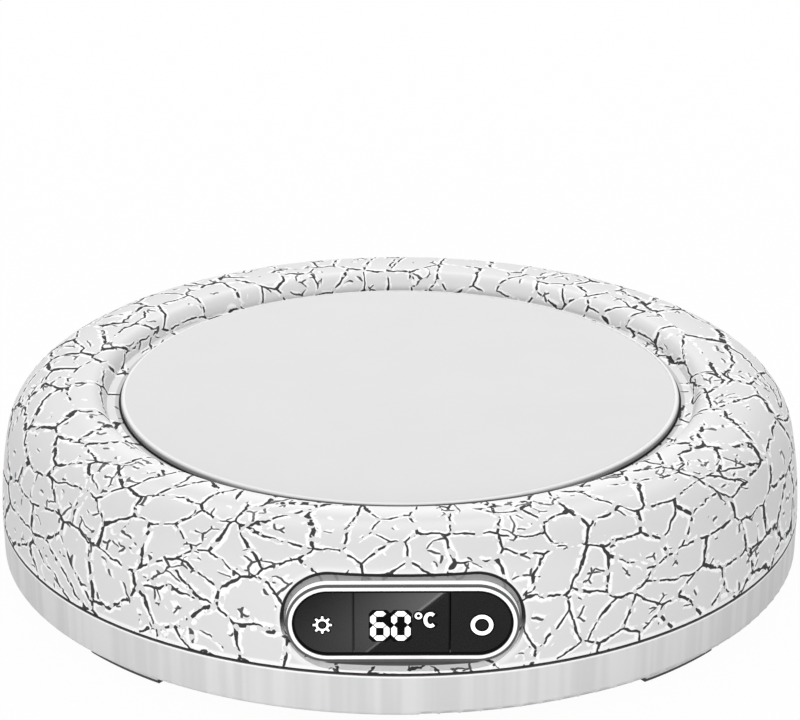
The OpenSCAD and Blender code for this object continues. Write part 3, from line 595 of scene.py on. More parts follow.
cover_material, tree, shader = new_material("crackle_cover", SATIN, ior=1.35)
spot = place(tree)
lines = use_group(tree, crackle, Place=spot)
x, y, z = split(tree, spot)
radius = length(tree, x, y)
front = below(tree, y, FRONT_Y, FRONT_SOFT)
pocket = use_group(
    tree,
    pill,
    Place=spot,
    Middle=panel_z + POCKET_RAISE,
    Straight=POCKET_STRAIGHT,
    Radius=POCKET_RADIUS,
)
from_rim = pocket["Distance"]
# Painted shade: the inside of the pocket behind the bezel is greyed, most of all in its upper part.
inside = product(
    tree,
    ramp(tree, from_rim, *POCKET_INSIDE, 1.0, 0.0),
    front,
    ramp(tree, z, panel_z + POCKET_Z[0], panel_z + POCKET_Z[1], POCKET_LEAST, 1.0),
)
# Painted shadow: a dark line along the pocket's upper rim, where it overhangs.
rim = product(
    tree,
    ramp(tree, from_rim, -RIM_LINE_IN - RIM_LINE_SOFT, -RIM_LINE_IN),
    below(tree, from_rim, RIM_LINE_W, RIM_LINE_SOFT),
    ramp(tree, z, panel_z + RIM_LINE_Z[0], panel_z + RIM_LINE_Z[1]),
    front,
)
# Painted shadow: a dark band on the shelf just under the bezel.
arc = product(tree, x, x, SHELF_Y / SHELF_X ** 2)
behind = calc(tree, "SUBTRACT", calc(tree, "SUBTRACT", y, panel_y - SHELF_Y), arc)
shelf = product(
    tree,
    ramp(tree, behind, -SHELF_SOFT, SHELF_SOFT),
    front,
    below(tree, calc(tree, "ABSOLUTE", x), SHELF_X, SHELF_X_SOFT),
    below(tree, z, panel_z + SHELF_Z, SHELF_Z_SOFT),
)
# Painted shadow: a dark line round the plate; painted shade: the ledge beside it is greyed.
ledge_line = below(tree, radius, rim_r + LEDGE_LINE_W, LEDGE_LINE_SOFT)
ledge = below(tree, radius, rim_r + LEDGE_W, LEDGE_SOFT)
# Painted shade: dark inside the groove of the parting line.
joint = below(tree, z, part_z + JOINT_H, JOINT_SOFT)
shadow_lines = largest(tree, rim, ledge_line)

# Painted highlight inside the crown's inner edge, stronger at the front than at the back.
dish_highlight = product(
    tree,
    ramp(tree, radius, rim_r + DISH_HIGHLIGHT_R[0], rim_r + DISH_HIGHLIGHT_R[1], DISH_HIGHLIGHT, 0.0),
    ramp(tree, y, *DISH_HIGHLIGHT_Y, 1.0, DISH_HIGHLIGHT_BACK),
)
# Painted highlights: a bright lip above the parting line's groove and round the pocket's rim.
low_highlight = below(tree, z, part_z + JOINT_H + EDGE_HIGHLIGHT_W, EDGE_HIGHLIGHT_W)
pocket_highlight = ramp(tree, from_rim, RIM_LINE_W, RIM_LINE_W + 2 * EDGE_HIGHLIGHT_W, POCKET_HIGHLIGHT, 0.0)
edges = largest(tree, dish_highlight, low_highlight, product(tree, pocket_highlight, front))
# The bright lips beside the cracks and along these edges are painted highlights.
lip_highlight = largest(tree, lines["Lip"], product(tree, edges, EDGE_SHARE))

faint = ramp(tree, inside, 0.0, 1.0, 1.0, POCKET_FAINT)
ground = blend_colour(tree, lip_highlight, grey(PAINT), grey(LIP_HIGHLIGHT))
ground = over(tree, ground, inside, POCKET_SHADE)
ground = over(tree, ground, ledge, LEDGE_SHADE)
ground = over(tree, ground, product(tree, lines["Branch"], faint), BRANCH_DARK)
ground = over(tree, ground, product(tree, lines["Line"], faint), LINE_DARK)
ground = over(tree, ground, largest(tree, joint, shelf), GROOVE_DARK)
ground = over(tree, ground, shadow_lines, SHADOW_LINE_DARK)
join(tree, shader.inputs["Base Color"], ground)
dull = largest(tree, lines["Line"], shadow_lines, shelf)
join(tree, shader.inputs["Roughness"], ramp(tree, dull, 0.0, 1.0, SATIN, DULL))
raise_bumps(tree, shader, lines["Height"], *CRACK_BUMP)

# %% [markdown]
# The base band is bare light-grey plastic with faint upright flow marks, with a painted highlight along
# its upper edge and painted shade on top, inside the groove of the parting line. The plate has a satin
# glaze with a painted highlight where it rolls over the edge, and a side under it painted as shade,
# darkening down to the gasket. That painted shadow at its foot is drawn higher at the front, where the
# crown would hide it.

# %% Materials: base band and plate
STREAK_RANGE = (0.38, 0.62)
BAND_TONES = (0.61, 0.69)
EDGE_LIGHT = (0.55, 0.2)
EDGE_DARK = (0.12, 0.08)
EDGE_HIGHLIGHT = 0.95
MOTTLE_RANGE = (0.3, 0.7)
GLAZE_TONES = (0.665, 0.675)
ROLL_HIGHLIGHT = 0.86
RIM_ROLL = 0.6
RIM_WHITE = 0.8
SIDE_FROM = 0.03
SIDE_GREY = 0.45
SIDE_DARK = 0.7
SIDE_END = 0.88
SIDE_SHADE_TONE = 0.24
FOOT_SHADOW_TONE = 0.07
FRONT_LIFT = 0.62
LIFT_Y = (-44.5, -33.5)
GLAZE_ROUGH = (0.52, 0.6)
STREAK_BUMP = (0.1, 0.04)
GLAZE_BUMP = (0.02, 0.1)

band_material, tree, shader = new_material("base_band", 0.45, ior=1.35)
spot = place(tree)
bands = use_group(tree, streaks, Place=spot)["Value"]
z = split(tree, spot)[2]
tone = blend_colour(tree, ramp(tree, bands, *STREAK_RANGE), *map(grey, BAND_TONES))
# Painted highlight along the band's upper edge.
tone = over(tree, tone, ramp(tree, z, part_z - EDGE_LIGHT[0], part_z - EDGE_LIGHT[1]), EDGE_HIGHLIGHT)
# Painted shade on top of the band, inside the parting line's groove.
tone = over(tree, tone, ramp(tree, z, part_z - EDGE_DARK[0], part_z - EDGE_DARK[1]), GROOVE_DARK)
join(tree, shader.inputs["Base Color"], tone)
raise_bumps(tree, shader, bands, *STREAK_BUMP)

plate_material, tree, shader = new_material("plate_glaze", 0.55)
spot = place(tree)
clouds = use_group(tree, mottle, Place=spot)
x, y, z = split(tree, spot)
radius = length(tree, x, y)
rolled = ramp(tree, radius, rim_r - RIM_WHITE, rim_r - RIM_ROLL)
side = ramp(tree, z, plate_top - SIDE_GREY, plate_top - SIDE_FROM, 1.0, 0.0)
# Painted shadow at the foot of the plate's side, drawn higher at the front.
lifted = calc(tree, "SUBTRACT", z, ramp(tree, y, *LIFT_Y, FRONT_LIFT, 0.0))
foot = ramp(tree, lifted, plate_top - SIDE_END, plate_top - SIDE_DARK, 1.0, 0.0)
glaze = blend_colour(tree, ramp(tree, clouds["Cloud"], *MOTTLE_RANGE), *map(grey, GLAZE_TONES))
# Painted highlight where the glaze rolls over the edge.
glaze = over(tree, glaze, rolled, ROLL_HIGHLIGHT)
# Painted shade: the plate's side darkens downwards.
glaze = over(tree, glaze, side, SIDE_SHADE_TONE)
glaze = over(tree, glaze, foot, FOOT_SHADOW_TONE)
join(tree, shader.inputs["Base Color"], glaze)
join(tree, shader.inputs["Roughness"], ramp(tree, clouds["Grain"], *MOTTLE_RANGE, *GLAZE_ROUGH))
raise_bumps(tree, shader, clouds["Grain"], *GLAZE_BUMP)

# %% [markdown]
# The panel's keys and window are black gloss, a little denser than common plastic, as a hard-coated lens
# is. The bezel is white gloss with a dark inner wall and a groove painted dark as shadow, which `pill`
# picks out. Its outer side is given a little emission, a painted light that keeps it bright inside the
# pocket's shade.

# %% Materials: panel and bezel
PANEL_TONES = (0.006, 0.011)
OPENING_STRAIGHT = 11.0
OPENING_RADIUS = 5.25
WALL_SOFT = (0.01, 0.05)
GROOVE_FROM = 0.57
GROOVE_FROM_SOFT = 0.02
GROOVE_TO = 0.93
GROOVE_TO_SOFT = 0.01
GROOVE_DEPTH = 0.3
GROOVE_DEPTH_SOFT = 0.05
SIDE_DEPTH = 1.5
SIDE_DEPTH_SOFT = 0.1
PANEL_ROUGH = (0.02, 0.04)
BEZEL_ROUGH = (0.15, 0.8)
BEZEL_WHITE = 0.95
BEZEL_SHADOW = 0.05
BEZEL_DEEP = 0.31
BEZEL_WALL = 0.01
BEZEL_GLOW = 0.75
GLOW_TONES = (0.1, 1.0)

panel_material, tree, shader = new_material("panel_gloss", 0.03, ior=1.8)
clouds = use_group(tree, mottle, Place=place(tree))
black = blend_colour(tree, clouds["Cloud"], *map(grey, PANEL_TONES))
join(tree, shader.inputs["Base Color"], black)
join(tree, shader.inputs["Roughness"], ramp(tree, clouds["Cloud"], *MOTTLE_RANGE, *PANEL_ROUGH))

bezel_material, tree, shader = new_material("bezel_gloss", BEZEL_ROUGH[0])
spot = place(tree)
opening = use_group(
    tree,
    pill,
    Place=spot,
    Middle=panel_z,
    Straight=OPENING_STRAIGHT,
    Radius=OPENING_RADIUS,
)
from_wall = opening["Distance"]
wall = ramp(tree, from_wall, *WALL_SOFT, 1.0, 0.0)
depth = calc(tree, "SUBTRACT", split(tree, spot)[1], panel_y)
edge = ramp(tree, from_wall, GROOVE_FROM - GROOVE_FROM_SOFT, GROOVE_FROM)
lip = below(tree, depth, GROOVE_DEPTH, GROOVE_DEPTH_SOFT)
sunken = largest(tree, lip, below(tree, from_wall, GROOVE_TO, GROOVE_TO_SOFT))
# Painted shadow: the groove round the bezel's face is made dark.
groove = product(tree, edge, sunken)
deep = ramp(tree, depth, SIDE_DEPTH, SIDE_DEPTH + SIDE_DEPTH_SOFT)
side = product(tree, edge, remainder(tree, sunken), remainder(tree, deep))
shade = over(tree, grey(BEZEL_WHITE), groove, BEZEL_SHADOW)
shade = over(tree, shade, deep, BEZEL_DEEP)
shade = over(tree, shade, wall, BEZEL_WALL)
join(tree, shader.inputs["Base Color"], shade)
# Painted light: the outer side's emission keeps it bright inside the pocket.
join(tree, shader.inputs["Emission Color"], blend_colour(tree, side, *map(grey, GLOW_TONES)))
shader.inputs["Emission Strength"].default_value = BEZEL_GLOW
join(tree, shader.inputs["Roughness"], ramp(tree, groove, 0.0, 1.0, *BEZEL_ROUGH))

# %% [markdown]
# The signs are lit from behind, so they give a little light of their own, and what surrounds them is a
# flat black that mirrors almost nothing. The feet are light rubber, with a painted contact shadow along
# their bottom. The other materials are plain moulded ones, most of them inside the body. Each is a row
# with its two colours, its roughness and, where they aren't the usual ones, its bump and how metallic it
# is.

# %% Materials: signs and the rest
SIGN_TONES = (0.85, 0.9)
SIGN_LIGHT = (0.95, 1.0)
SIGN_GLOW = 0.45
RUBBER_TONES = (0.62, 0.68)
RUBBER_BUMP = 0.2
SHADOW_BAND_H = 0.65
SHADOW_BAND_SOFT = 0.1
CONTACT_SHADOW_TONE = 0.05
PLAIN = {
    "dark_rubber": ((0.02, 0.02, 0.021), (0.035, 0.035, 0.036), 0.75),
    "heater_film": ((0.42, 0.2, 0.07), (0.52, 0.27, 0.1), 0.35),
    "insulation_felt": ((0.68, 0.64, 0.53), (0.78, 0.75, 0.66), 0.95, 0.6),
    "zinc_steel": ((0.52, 0.53, 0.55), (0.62, 0.63, 0.65), 0.32, 0.15, 1.0),
    "sensor_resin": ((0.58, 0.38, 0.07), (0.68, 0.48, 0.12), 0.3),
    "lead_sleeve": ((0.52, 0.52, 0.52), (0.62, 0.62, 0.62), 0.6),
    "switch_plastic": ((0.07, 0.07, 0.07), (0.11, 0.11, 0.11), 0.5),
    "circuit_board": ((0.02, 0.13, 0.05), (0.035, 0.18, 0.08), 0.35),
    "chip_resin": ((0.015, 0.015, 0.015), (0.025, 0.025, 0.025), 0.6),
    "can_sleeve": ((0.02, 0.04, 0.11), (0.035, 0.06, 0.15), 0.3),
    "fuse_glass": ((0.7, 0.72, 0.72), (0.8, 0.82, 0.82), 0.08),
    "choke_copper": ((0.4, 0.16, 0.06), (0.55, 0.26, 0.12), 0.35, 0.4, 1.0),
    "terminal_green": ((0.04, 0.21, 0.06), (0.06, 0.28, 0.1), 0.5),
}

sign_material, tree, shader = new_material("sign_white", 0.6)
clouds = use_group(tree, mottle, Place=place(tree))
white = blend_colour(tree, clouds["Cloud"], *map(grey, SIGN_TONES))
lit = blend_colour(tree, clouds["Grain"], *map(grey, SIGN_LIGHT))
join(tree, shader.inputs["Base Color"], white)
join(tree, shader.inputs["Emission Color"], lit)
shader.inputs["Emission Strength"].default_value = SIGN_GLOW

shade_material = moulded("sign_shade", (0.003, 0.003, 0.003), (0.005, 0.005, 0.005), 0.7, ior=1.12)

foot_material, tree, shader = new_material("foot_rubber", 0.8)
spot = place(tree)
clouds = use_group(tree, mottle, Place=spot)
# Painted contact shadow along the bottom of each foot.
contact_shadow = below(tree, split(tree, spot)[2], SHADOW_BAND_H, SHADOW_BAND_SOFT)
rubber = blend_colour(tree, clouds["Cloud"], *map(grey, RUBBER_TONES))
join(tree, shader.inputs["Base Color"], over(tree, rubber, contact_shadow, CONTACT_SHADOW_TONE))
raise_bumps(tree, shader, clouds["Grain"], GRAIN_DEPTH, RUBBER_BUMP)

materials = {
    "crackle_cover": cover_material,
    "base_band": band_material,
    "plate_glaze": plate_material,
    "panel_gloss": panel_material,
    "bezel_gloss": bezel_material,
    "foot_rubber": foot_material,
}
for name, looks in PLAIN.items():
    materials[name] = moulded(name, *looks)
print("materials for the slots:", len(materials))

# %% [markdown]
# The record says which slot each node takes, so dressing the CAD nodes is one short loop.

# %% Dress the CAD nodes
for part in frame["record"]["subparts"]:
    mesh = nodes[part["node"]].data
    mesh.materials.clear()
    mesh.materials.append(materials[part["material_slot"]])

# %% [markdown]
# The signs are flat solids on the panel's face, so each is an outline in the panel's plane, in
# millimetres from the panel's middle. Text objects could draw the digits, but a lit display has bars
# with slanted ends, which are quicker to work out. `band` makes one closed solid between an inner and an
# outer rail, for signs that are rings, and `slabs` makes a solid of each outline in an array.

# %% Helpers for new pieces
SUNK = 0.02


def close_mesh(name, points, faces, material, body):
    """A mesh piece from points in millimetres, with its faces turned outwards, that rides on a body."""
    mesh = bpy.data.meshes.new(name)
    mesh.from_pydata((points * MM).tolist(), [], faces)
    shell = bmesh.new()
    shell.from_mesh(mesh)
    bmesh.ops.recalc_face_normals(shell, faces=shell.faces)
    shell.to_mesh(mesh)
    shell.free()
    mesh.materials.append(material)
    piece = bpy.data.objects.new(name, mesh)
    scene.collection.objects.link(piece)
    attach(piece, body)
    print(name, "has", len(mesh.polygons), "faces")
    return piece


def on_panel(outline, proud):
    """Points (x, z) from the panel's middle, put in front of the keys' face: (x, key_y - proud, z)."""
    depth = np.full(outline.shape[:-1] + (1,), key_y - proud)
    return np.concatenate([outline[..., :1], depth, outline[..., 1:] + panel_z], axis=-1)


def ring_faces(rows, columns, closed):
    """Quads of a grid whose rows close on themselves, and whose columns do so too where closed is true.

    The face at (i, j) joins the points (i, j), (i + 1, j), (i + 1, j + 1) and (i, j + 1), row by row.
    Where the columns stay open, the first and the last column are closed by one face each.
    """
    i = np.arange(rows)[:, None]
    j = np.arange(columns if closed else columns - 1)[None, :]
    next_i = (i + 1) % rows
    next_j = (j + 1) % columns
    corners = (i * columns + j, next_i * columns + j, next_i * columns + next_j, i * columns + next_j)
    faces = np.stack(corners, axis=-1).reshape(-1, 4).tolist()
    if not closed:
        first = np.arange(rows) * columns
        faces.extend([first.tolist(), (first + columns - 1).tolist()])
    return faces


def band(name, inner, outer, proud, material, body, slot, closed=True, back=SUNK):
    """A flat solid between two rails, each (n, 2), from its front down to a depth behind the keys' face.

    Its section runs round inner front, outer front, outer back and inner back.
    """
    rows = np.stack([
        on_panel(inner, proud),
        on_panel(outer, proud),
        on_panel(outer, -back),
        on_panel(inner, -back),
    ])
    faces = ring_faces(len(rows), len(inner), closed)
    return close_mesh(name, rows.reshape(-1, 3), faces, material, body)


def slabs(name, outlines, proud, material, body, back=SUNK):
    """Flat solids from outlines (count, n, 2): for each one a front face, a back face and its wall."""
    count, n = outlines.shape[:2]
    points = np.stack([on_panel(outlines, proud), on_panel(outlines, -back)], axis=1)
    start = (np.arange(count) * 2 * n)[:, None]
    j = np.arange(n)[None, :]
    next_j = (j + 1) % n
    walls = np.stack([start + j, start + next_j, start + n + next_j, start + n + j], axis=-1)
    faces = walls.reshape(-1, 4).tolist() + (start + j).tolist() + (start + n + j).tolist()
    return close_mesh(name, points.reshape(-1, 3), faces, material, body)


def turn(count, start=0.0, end=2 * math.pi, closed=True):
    """Angles from start to end, without the last one where the ring closes."""
    return np.linspace(start, end, count, endpoint=not closed)


def round_path(middle, radius_x, radius_z, angles):
    """An ellipse's points at the given angles: middle + (radius_x cos a, radius_z sin a)."""
    across = middle[0] + radius_x * np.cos(angles)
    up = middle[1] + radius_z * np.sin(angles)
    return np.stack([across, up], axis=-1)


def pill_path(straight, radius, count):
    """A pill's outline: half circles of the radius, their centres at plus and minus the straight length."""
    a = turn(count, -math.pi / 2 + math.pi / count, 1.5 * math.pi + math.pi / count)
    return np.stack([np.sign(np.cos(a)) * straight + radius * np.cos(a), radius * np.sin(a)], axis=-1)


# %% [markdown]
# The plate's glaze rolls over a rim that reaches a little past the CAD plate, over the gap round it. The
# rim is one closed ring: a section of (radius, height) points, turned round the axis as an array.

# %% Plate rim
RIM_STEPS = 256
ROLL_STEPS = 9
RIM_IN = 44.6
RIM_IN_FOOT = -0.3
RIM_TOP = 0.012
RIM_FOOT = -0.93
RIM_LAP = 0.1
RIM_CREASE = 35

roll = turn(ROLL_STEPS, math.pi / 2, 0.0, closed=False)
section = np.concatenate([
    [(RIM_IN, RIM_IN_FOOT), (RIM_IN, RIM_TOP)],
    round_path((rim_r - RIM_ROLL, RIM_TOP - RIM_ROLL), RIM_ROLL, RIM_ROLL, roll),
    [(rim_r, RIM_FOOT), (plate_r - RIM_LAP, RIM_FOOT)],
])
a = turn(RIM_STEPS)[None, :]
reach = section[:, :1]
heights = np.repeat(section[:, 1:] + plate_top, RIM_STEPS, axis=1)
ring = np.stack([reach * np.cos(a), reach * np.sin(a), heights], axis=-1)
rim_faces = ring_faces(len(section), RIM_STEPS, True)
rim_piece = close_mesh("plate_rim", ring.reshape(-1, 3), rim_faces, plate_material, "housing")
rim_piece.data.shade_smooth()
rim_piece.data.set_sharp_from_angle(angle=math.radians(RIM_CREASE))

# %% [markdown]
# Round the keys runs a thin black gasket, held in the bezel's inner wall, with its back just in front of
# the keys. It hides the gap round them, and on the real panel it is the black line inside the white
# bezel.

# %% Panel gasket
GASKET_W = 0.36
GASKET_PROUD = 0.12
GASKET_STEPS = 192

gasket_inner = pill_path(OPENING_STRAIGHT, OPENING_RADIUS - GASKET_W, GASKET_STEPS)
gasket_outer = pill_path(OPENING_STRAIGHT, OPENING_RADIUS, GASKET_STEPS)
gasket_rails = (gasket_inner, gasket_outer)
band("panel_gasket", *gasket_rails, GASKET_PROUD, shade_material, "housing", "dark_rubber", back=-SUNK)

# %% [markdown]
# A seam runs down each side of the window. On the left it is the key that has a dark printed border
# there, and on the right it is the window. A sill of the window or a step of the key narrows the gap
# itself, and a black bar deep in it keeps the inside out of sight. A print mirrors less than the bare
# gloss, so it shows as a soft line. Each strip has its two edges across the panel, and its front and
# back behind the keys' face.

# %% Seams beside the window
STRIP_HALF = 4.95
PRINT = (-0.01, SUNK)
SILL = (0.01, 0.7)
STEP = (0.01, 1.0)
DEEP_BAR = (0.9, 1.2)
seam_material = moulded("seam_print", (0.004, 0.004, 0.004), (0.006, 0.006, 0.006), 0.03, bump=0.0)


def strip(name, edges, depths, material, body):
    """An upright strip between two places across the panel and two depths behind the keys' face."""
    left, right = edges
    front, back = depths
    low = -STRIP_HALF
    high = STRIP_HALF
    outline = np.array([(left, low), (right, low), (right, high), (left, high)])
    slabs(name, outline[None], -front, material, body, back)


strip("setting_key_print", (-7.45, -7.205), PRINT, seam_material, "setting_key")
strip("window_sill", (-7.1, -6.88), SILL, panel_material, "housing")
strip("left_seam_bar", (-7.19, -6.88), DEEP_BAR, shade_material, "housing")
strip("window_print", (6.7, 6.895), PRINT, seam_material, "housing")
strip("power_key_step", (7.08, 7.22), STEP, panel_material, "power_key")
strip("right_seam_bar", (6.88, 7.07), DEEP_BAR, shade_material, "housing")

# %% [markdown]
# The display shows two digits of seven bars each. A bar is a long hexagon, so that bars meet at a slant
# with a fine gap. The same six corners, turned or not and moved to each bar's middle, give all of them
# in one array.

# %% Digits
DIGIT_W = 2.94
DIGIT_H = 4.9
BAR_W = 0.95
BAR_GAP = 0.09
BAR_RISE = 0.14
SIGN_PROUD = 0.03
SHADE_PROUD = 0.01
DIGITS_Z = -0.53
TENS_X = -3.36
UNITS_X = -0.27
bar_x = (DIGIT_W - BAR_W) / 2
bar_z = (DIGIT_H - BAR_W) / 2


def bar(half_length, upright):
    """A hexagon 2 half_length long and BAR_W wide, pointed at both ends, along x or, upright, along z."""
    tip = half_length - BAR_GAP
    corner = tip - BAR_W / 2 + BAR_GAP / 2
    half = (BAR_W - BAR_GAP) / 2
    outline = np.array([
        (-tip, 0.0), (-corner, -half), (corner, -half), (tip, 0.0), (corner, half), (-corner, half),
    ])
    return outline[:, ::-1] if upright else outline


across = bar(bar_x, False)
upper_z = (bar_z + BAR_RISE) / 2
lower_z = (BAR_RISE - bar_z) / 2
upper = bar((bar_z - BAR_RISE) / 2, True)
lower = bar((bar_z + BAR_RISE) / 2, True)
bars = {
    "top": across + (0.0, bar_z),
    "middle": across + (0.0, BAR_RISE),
    "bottom": across - (0.0, bar_z),
    "upper left": upper + (-bar_x, upper_z),
    "upper right": upper + (bar_x, upper_z),
    "lower left": lower + (-bar_x, lower_z),
    "lower right": lower + (bar_x, lower_z),
}
SIX = ["top", "upper left", "middle", "lower left", "bottom", "lower right"]
ZERO = ["top", "upper left", "upper right", "lower left", "bottom", "lower right"]
tens = np.stack([bars[key] for key in SIX]) + (TENS_X, DIGITS_Z)
units = np.stack([bars[key] for key in ZERO]) + (UNITS_X, DIGITS_Z)
slabs("digit_tens", tens, SIGN_PROUD, sign_material, "housing")
slabs("digit_units", units, SIGN_PROUD, sign_material, "housing")

# %% [markdown]
# Behind the digits the window is masked in flat black. Each mask follows its digit's outline, an
# octagon, a little outside it.

# %% Masks behind the digits
MASK_EDGE = 0.16
MASK_CUT = 0.6
mask_x = DIGIT_W / 2 + MASK_EDGE
mask_z = DIGIT_H / 2 + MASK_EDGE
corner = np.array([(mask_x, mask_z - MASK_CUT), (mask_x - MASK_CUT, mask_z)])
octagon = np.concatenate([corner, corner[::-1] * (-1.0, 1.0), -corner, corner[::-1] * (1.0, -1.0)])
masks = np.stack([octagon + (TENS_X, DIGITS_Z), octagon + (UNITS_X, DIGITS_Z)])
slabs("digit_mask", masks, SHADE_PROUD, shade_material, "housing")

# %% [markdown]
# The degree ring, the letter of the unit, the gear on the left key and the ring on the right key are
# bands between two rails. Each has a wider black band under it. The letter is a ring with an opening on
# its right. The gear's outer rail is a circle whose radius steps up and down eight times, with slanted
# flanks.

# %% Unit and key signs
EDGE = 0.25
LEAST_HOLE = 0.03
RING_STEPS = 72
degree_at = (2.3, 1.1)
unit_at = (4.05, 0.43)
gear_at = (-11.8, -0.35)
ring_at = (11.63, -0.43)
DEGREE_R = (0.26, 0.56)
POWER_R = (1.05, 1.67)


def ring_sign(name, middle, inner, outer, body):
    """A ring between two circles, and its black band."""
    a = turn(RING_STEPS)
    rails = [round_path(middle, r, r, a) for r in (inner, outer)]
    band(name, *rails, SIGN_PROUD, sign_material, body, "bezel_gloss")
    rails = [round_path(middle, r, r, a) for r in (max(inner - EDGE, LEAST_HOLE), outer + EDGE)]
    band(name + "_mask", *rails, SHADE_PROUD, shade_material, body, "panel_gloss")


ring_sign("degree_ring", degree_at, *DEGREE_R, "housing")
ring_sign("power_ring", ring_at, *POWER_R, "power_key")

UNIT_X = 0.73
UNIT_Z = 0.99
UNIT_HALF = 0.28
UNIT_STEPS = 48
UNIT_OPENING = 48
MASK_OPENING = 26


def letter(name, half, opening, proud, material, slot):
    """The unit's letter: an ellipse of the given half width, open by an angle each way on its right."""
    a = turn(UNIT_STEPS, math.radians(opening), math.radians(360 - opening), closed=False)
    rails = [round_path(unit_at, UNIT_X + side * half, UNIT_Z + side * half, a) for side in (-1, 1)]
    band(name, *rails, proud, material, "housing", slot, closed=False)


letter("unit_letter", UNIT_HALF, UNIT_OPENING, SIGN_PROUD, sign_material, "bezel_gloss")
letter("unit_mask", UNIT_HALF + EDGE, MASK_OPENING, SHADE_PROUD, shade_material, "panel_gloss")

TEETH = 8
TOOTH_STEPS = 24
TOOTH_SHIFT = 0.05
TOOTH_GAIN = 1.3
GEAR_ROOT = 0.97
GEAR_TIP = 1.42
GEAR_HOLE = 0.65
a = turn(TEETH * TOOTH_STEPS)
tooth = np.clip(TOOTH_SHIFT + TOOTH_GAIN * np.cos(TEETH * a), 0.0, 1.0)
gear_r = GEAR_ROOT + (GEAR_TIP - GEAR_ROOT) * tooth
rails = [round_path(gear_at, r, r, a) for r in (GEAR_HOLE, gear_r)]
band("setting_gear", *rails, SIGN_PROUD, sign_material, "setting_key", "bezel_gloss")
rails = [round_path(gear_at, r, r, a) for r in (GEAR_HOLE - EDGE, gear_r + EDGE)]
band("setting_gear_mask", *rails, SHADE_PROUD, shade_material, "setting_key", "panel_gloss")

# %% [markdown]
# The floor is a large white sheet. To the camera, and in mirrors and glass, most of its brightness is a
# plain white, so that the background is white, and the rest is the light that it receives, with the
# object's shadow.

# %% Floor
FLOOR_HALF = 3000.0
FLOOR_GREY = 0.75
CAMERA_WHITE = 0.97


def sheet(name, half_x, y_range, z):
    """A flat rectangle in millimetres, as wide each way as half_x, put in the scene."""
    near, far = y_range
    corners = np.array([(-half_x, near, z), (half_x, near, z), (half_x, far, z), (-half_x, far, z)])
    mesh = bpy.data.meshes.new(name)
    mesh.from_pydata((corners * MM).tolist(), [], [(0, 1, 2, 3)])
    piece = bpy.data.objects.new(name, mesh)
    scene.collection.objects.link(piece)
    return piece


def plain_view(tree):
    """1 for a ray that comes from the camera, a mirror or glass, and 0 for the rays that carry light."""
    ray = tree.nodes.new("ShaderNodeLightPath").outputs
    return largest(tree, ray["Is Camera Ray"], ray["Is Glossy Ray"], ray["Is Transmission Ray"])


def mix_shaders(tree, factor, first, second):
    """One Mix Shader node."""
    node = tree.nodes.new("ShaderNodeMixShader")
    join(tree, node.inputs[0], factor)
    join(tree, node.inputs[1], first)
    join(tree, node.inputs[2], second)
    return node.outputs[0]


floor = sheet("floor", FLOOR_HALF, (-FLOOR_HALF, FLOOR_HALF), 0.0)
floor_material, tree, shader = new_material("floor_white", 0.9)
shader.inputs["Base Color"].default_value = grey(FLOOR_GREY)
shader.inputs["Specular IOR Level"].default_value = 0.1
glow = tree.nodes.new("ShaderNodeEmission")
whitened = product(tree, plain_view(tree), CAMERA_WHITE)
mixed = mix_shaders(tree, whitened, shader.outputs["BSDF"], glow.outputs["Emission"])
join(tree, tree.nodes["Material Output"].inputs["Surface"], mixed)
floor.data.materials.append(floor_material)

# %% [markdown]
# A black gloss panel shows mostly what it mirrors. From the camera's height it mirrors the floor a few
# centimetres in front of it, so a card lies there, as a photographer would lay one: dark, with a light
# patch that fades to the left and ends at a slant, with a brighter edge. Only mirror rays see it.

# %% Reflection card
CARD_X = 26.0
CARD_Y = (-114.0, -74.0)
CARD_Z = 0.05
SLANT_FAR = (5.8, -102.5)
SLANT_NEAR = (-5.6, -83.0)
CARD_DARK = 0.16
CARD_BRIGHT = 1.5
FADE = (-21.0, -1.0)
FADE_POWER = 1.5
NEAR_DIM = 0.35
EDGE_W = 0.45
EDGE_BLUR = 0.1
EDGE_GAIN = 2.2

card = sheet("reflection_card", CARD_X, CARD_Y, CARD_Z)
card_material = bpy.data.materials.new("reflection_card")
card_material.use_nodes = True
tree = card_material.node_tree
tree.nodes.remove(tree.nodes["Principled BSDF"])
x, y, _ = split(tree, place(tree))
slope = (SLANT_FAR[0] - SLANT_NEAR[0]) / (SLANT_FAR[1] - SLANT_NEAR[1])
slanted = product(tree, calc(tree, "SUBTRACT", y, SLANT_NEAR[1]), slope)
from_edge = calc(tree, "SUBTRACT", x, calc(tree, "ADD", slanted, SLANT_NEAR[0]))
light = product(
    tree,
    calc(tree, "POWER", ramp(tree, from_edge, *FADE, smooth=False), FADE_POWER),
    ramp(tree, from_edge, -EDGE_W - EDGE_BLUR, -EDGE_W, 1.0, EDGE_GAIN),
    ramp(tree, y, SLANT_FAR[1], SLANT_NEAR[1], 1.0, NEAR_DIM, smooth=False),
    ramp(tree, from_edge, -EDGE_BLUR, EDGE_BLUR, 1.0, 0.0),
)
strength = calc(tree, "ADD", product(tree, light, CARD_BRIGHT - CARD_DARK), CARD_DARK)
glow = tree.nodes.new("ShaderNodeEmission")
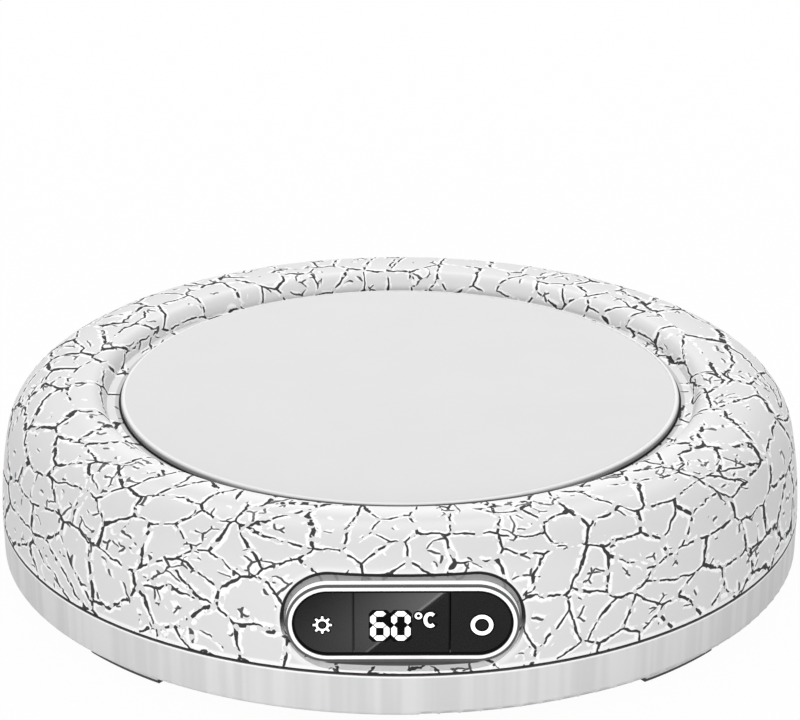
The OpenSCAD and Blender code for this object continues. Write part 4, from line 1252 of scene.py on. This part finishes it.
join(tree, glow.inputs["Strength"], strength)
join(tree, tree.nodes["Material Output"].inputs["Surface"], glow.outputs["Emission"])
card.data.materials.append(card_material)
card.visible_camera = False
card.visible_diffuse = False
card.visible_shadow = False

# %% [markdown]
# The light is a white sky, brighter overhead than at the horizon and darker to the left and the right,
# with one soft lamp behind the camera, a little to the left, and one overhead. The sky alone would make
# the body look flat, and the lamp lifts the front against the sides.

# %% Lights
SKY_LOW = 0.55
SKY_HIGH = 0.97
FLAG_FROM = 0.4
FLAG_DIM = 0.45

world = bpy.data.worlds.new("studio")
world.use_nodes = True
scene.world = world
tree = world.node_tree
tree.nodes.clear()
sky = tree.nodes.new("ShaderNodeBackground")
sky.inputs["Color"].default_value = grey(1.0)
sideways, _, height = split(tree, tree.nodes.new("ShaderNodeTexCoord").outputs["Generated"])
graded = ramp(tree, height, 0.0, 1.0, SKY_LOW, SKY_HIGH, smooth=False)
flagged = ramp(tree, calc(tree, "ABSOLUTE", sideways), FLAG_FROM, 1.0, 1.0, FLAG_DIM)
join(tree, sky.inputs["Strength"], product(tree, graded, flagged))
white = tree.nodes.new("ShaderNodeBackground")
white.inputs["Color"].default_value = grey(1.0)
mixed = mix_shaders(tree, plain_view(tree), sky.outputs[0], white.outputs[0])
world_out = tree.nodes.new("ShaderNodeOutputWorld")
join(tree, world_out.inputs["Surface"], mixed)


def softbox(name, spot, width, depth, power):
    """A rectangular lamp at a place in metres, turned towards the object."""
    lamp = bpy.data.lights.new(name, "AREA")
    lamp.shape = "RECTANGLE"
    lamp.size = width
    lamp.size_y = depth
    lamp.energy = power
    holder = bpy.data.objects.new(name, lamp)
    dx, dy, dz = (-c for c in spot)
    holder.location = spot
    holder.rotation_euler = (math.atan2(math.hypot(dx, dy), -dz), 0.0, math.atan2(-dx, dy))
    scene.collection.objects.link(holder)


softbox("front_softbox", (-0.12, -0.95, 0.16), width=0.6, depth=0.3, power=3.8)
softbox("top_softbox", (0.0, 0.7, 0.75), width=0.7, depth=0.4, power=4.0)
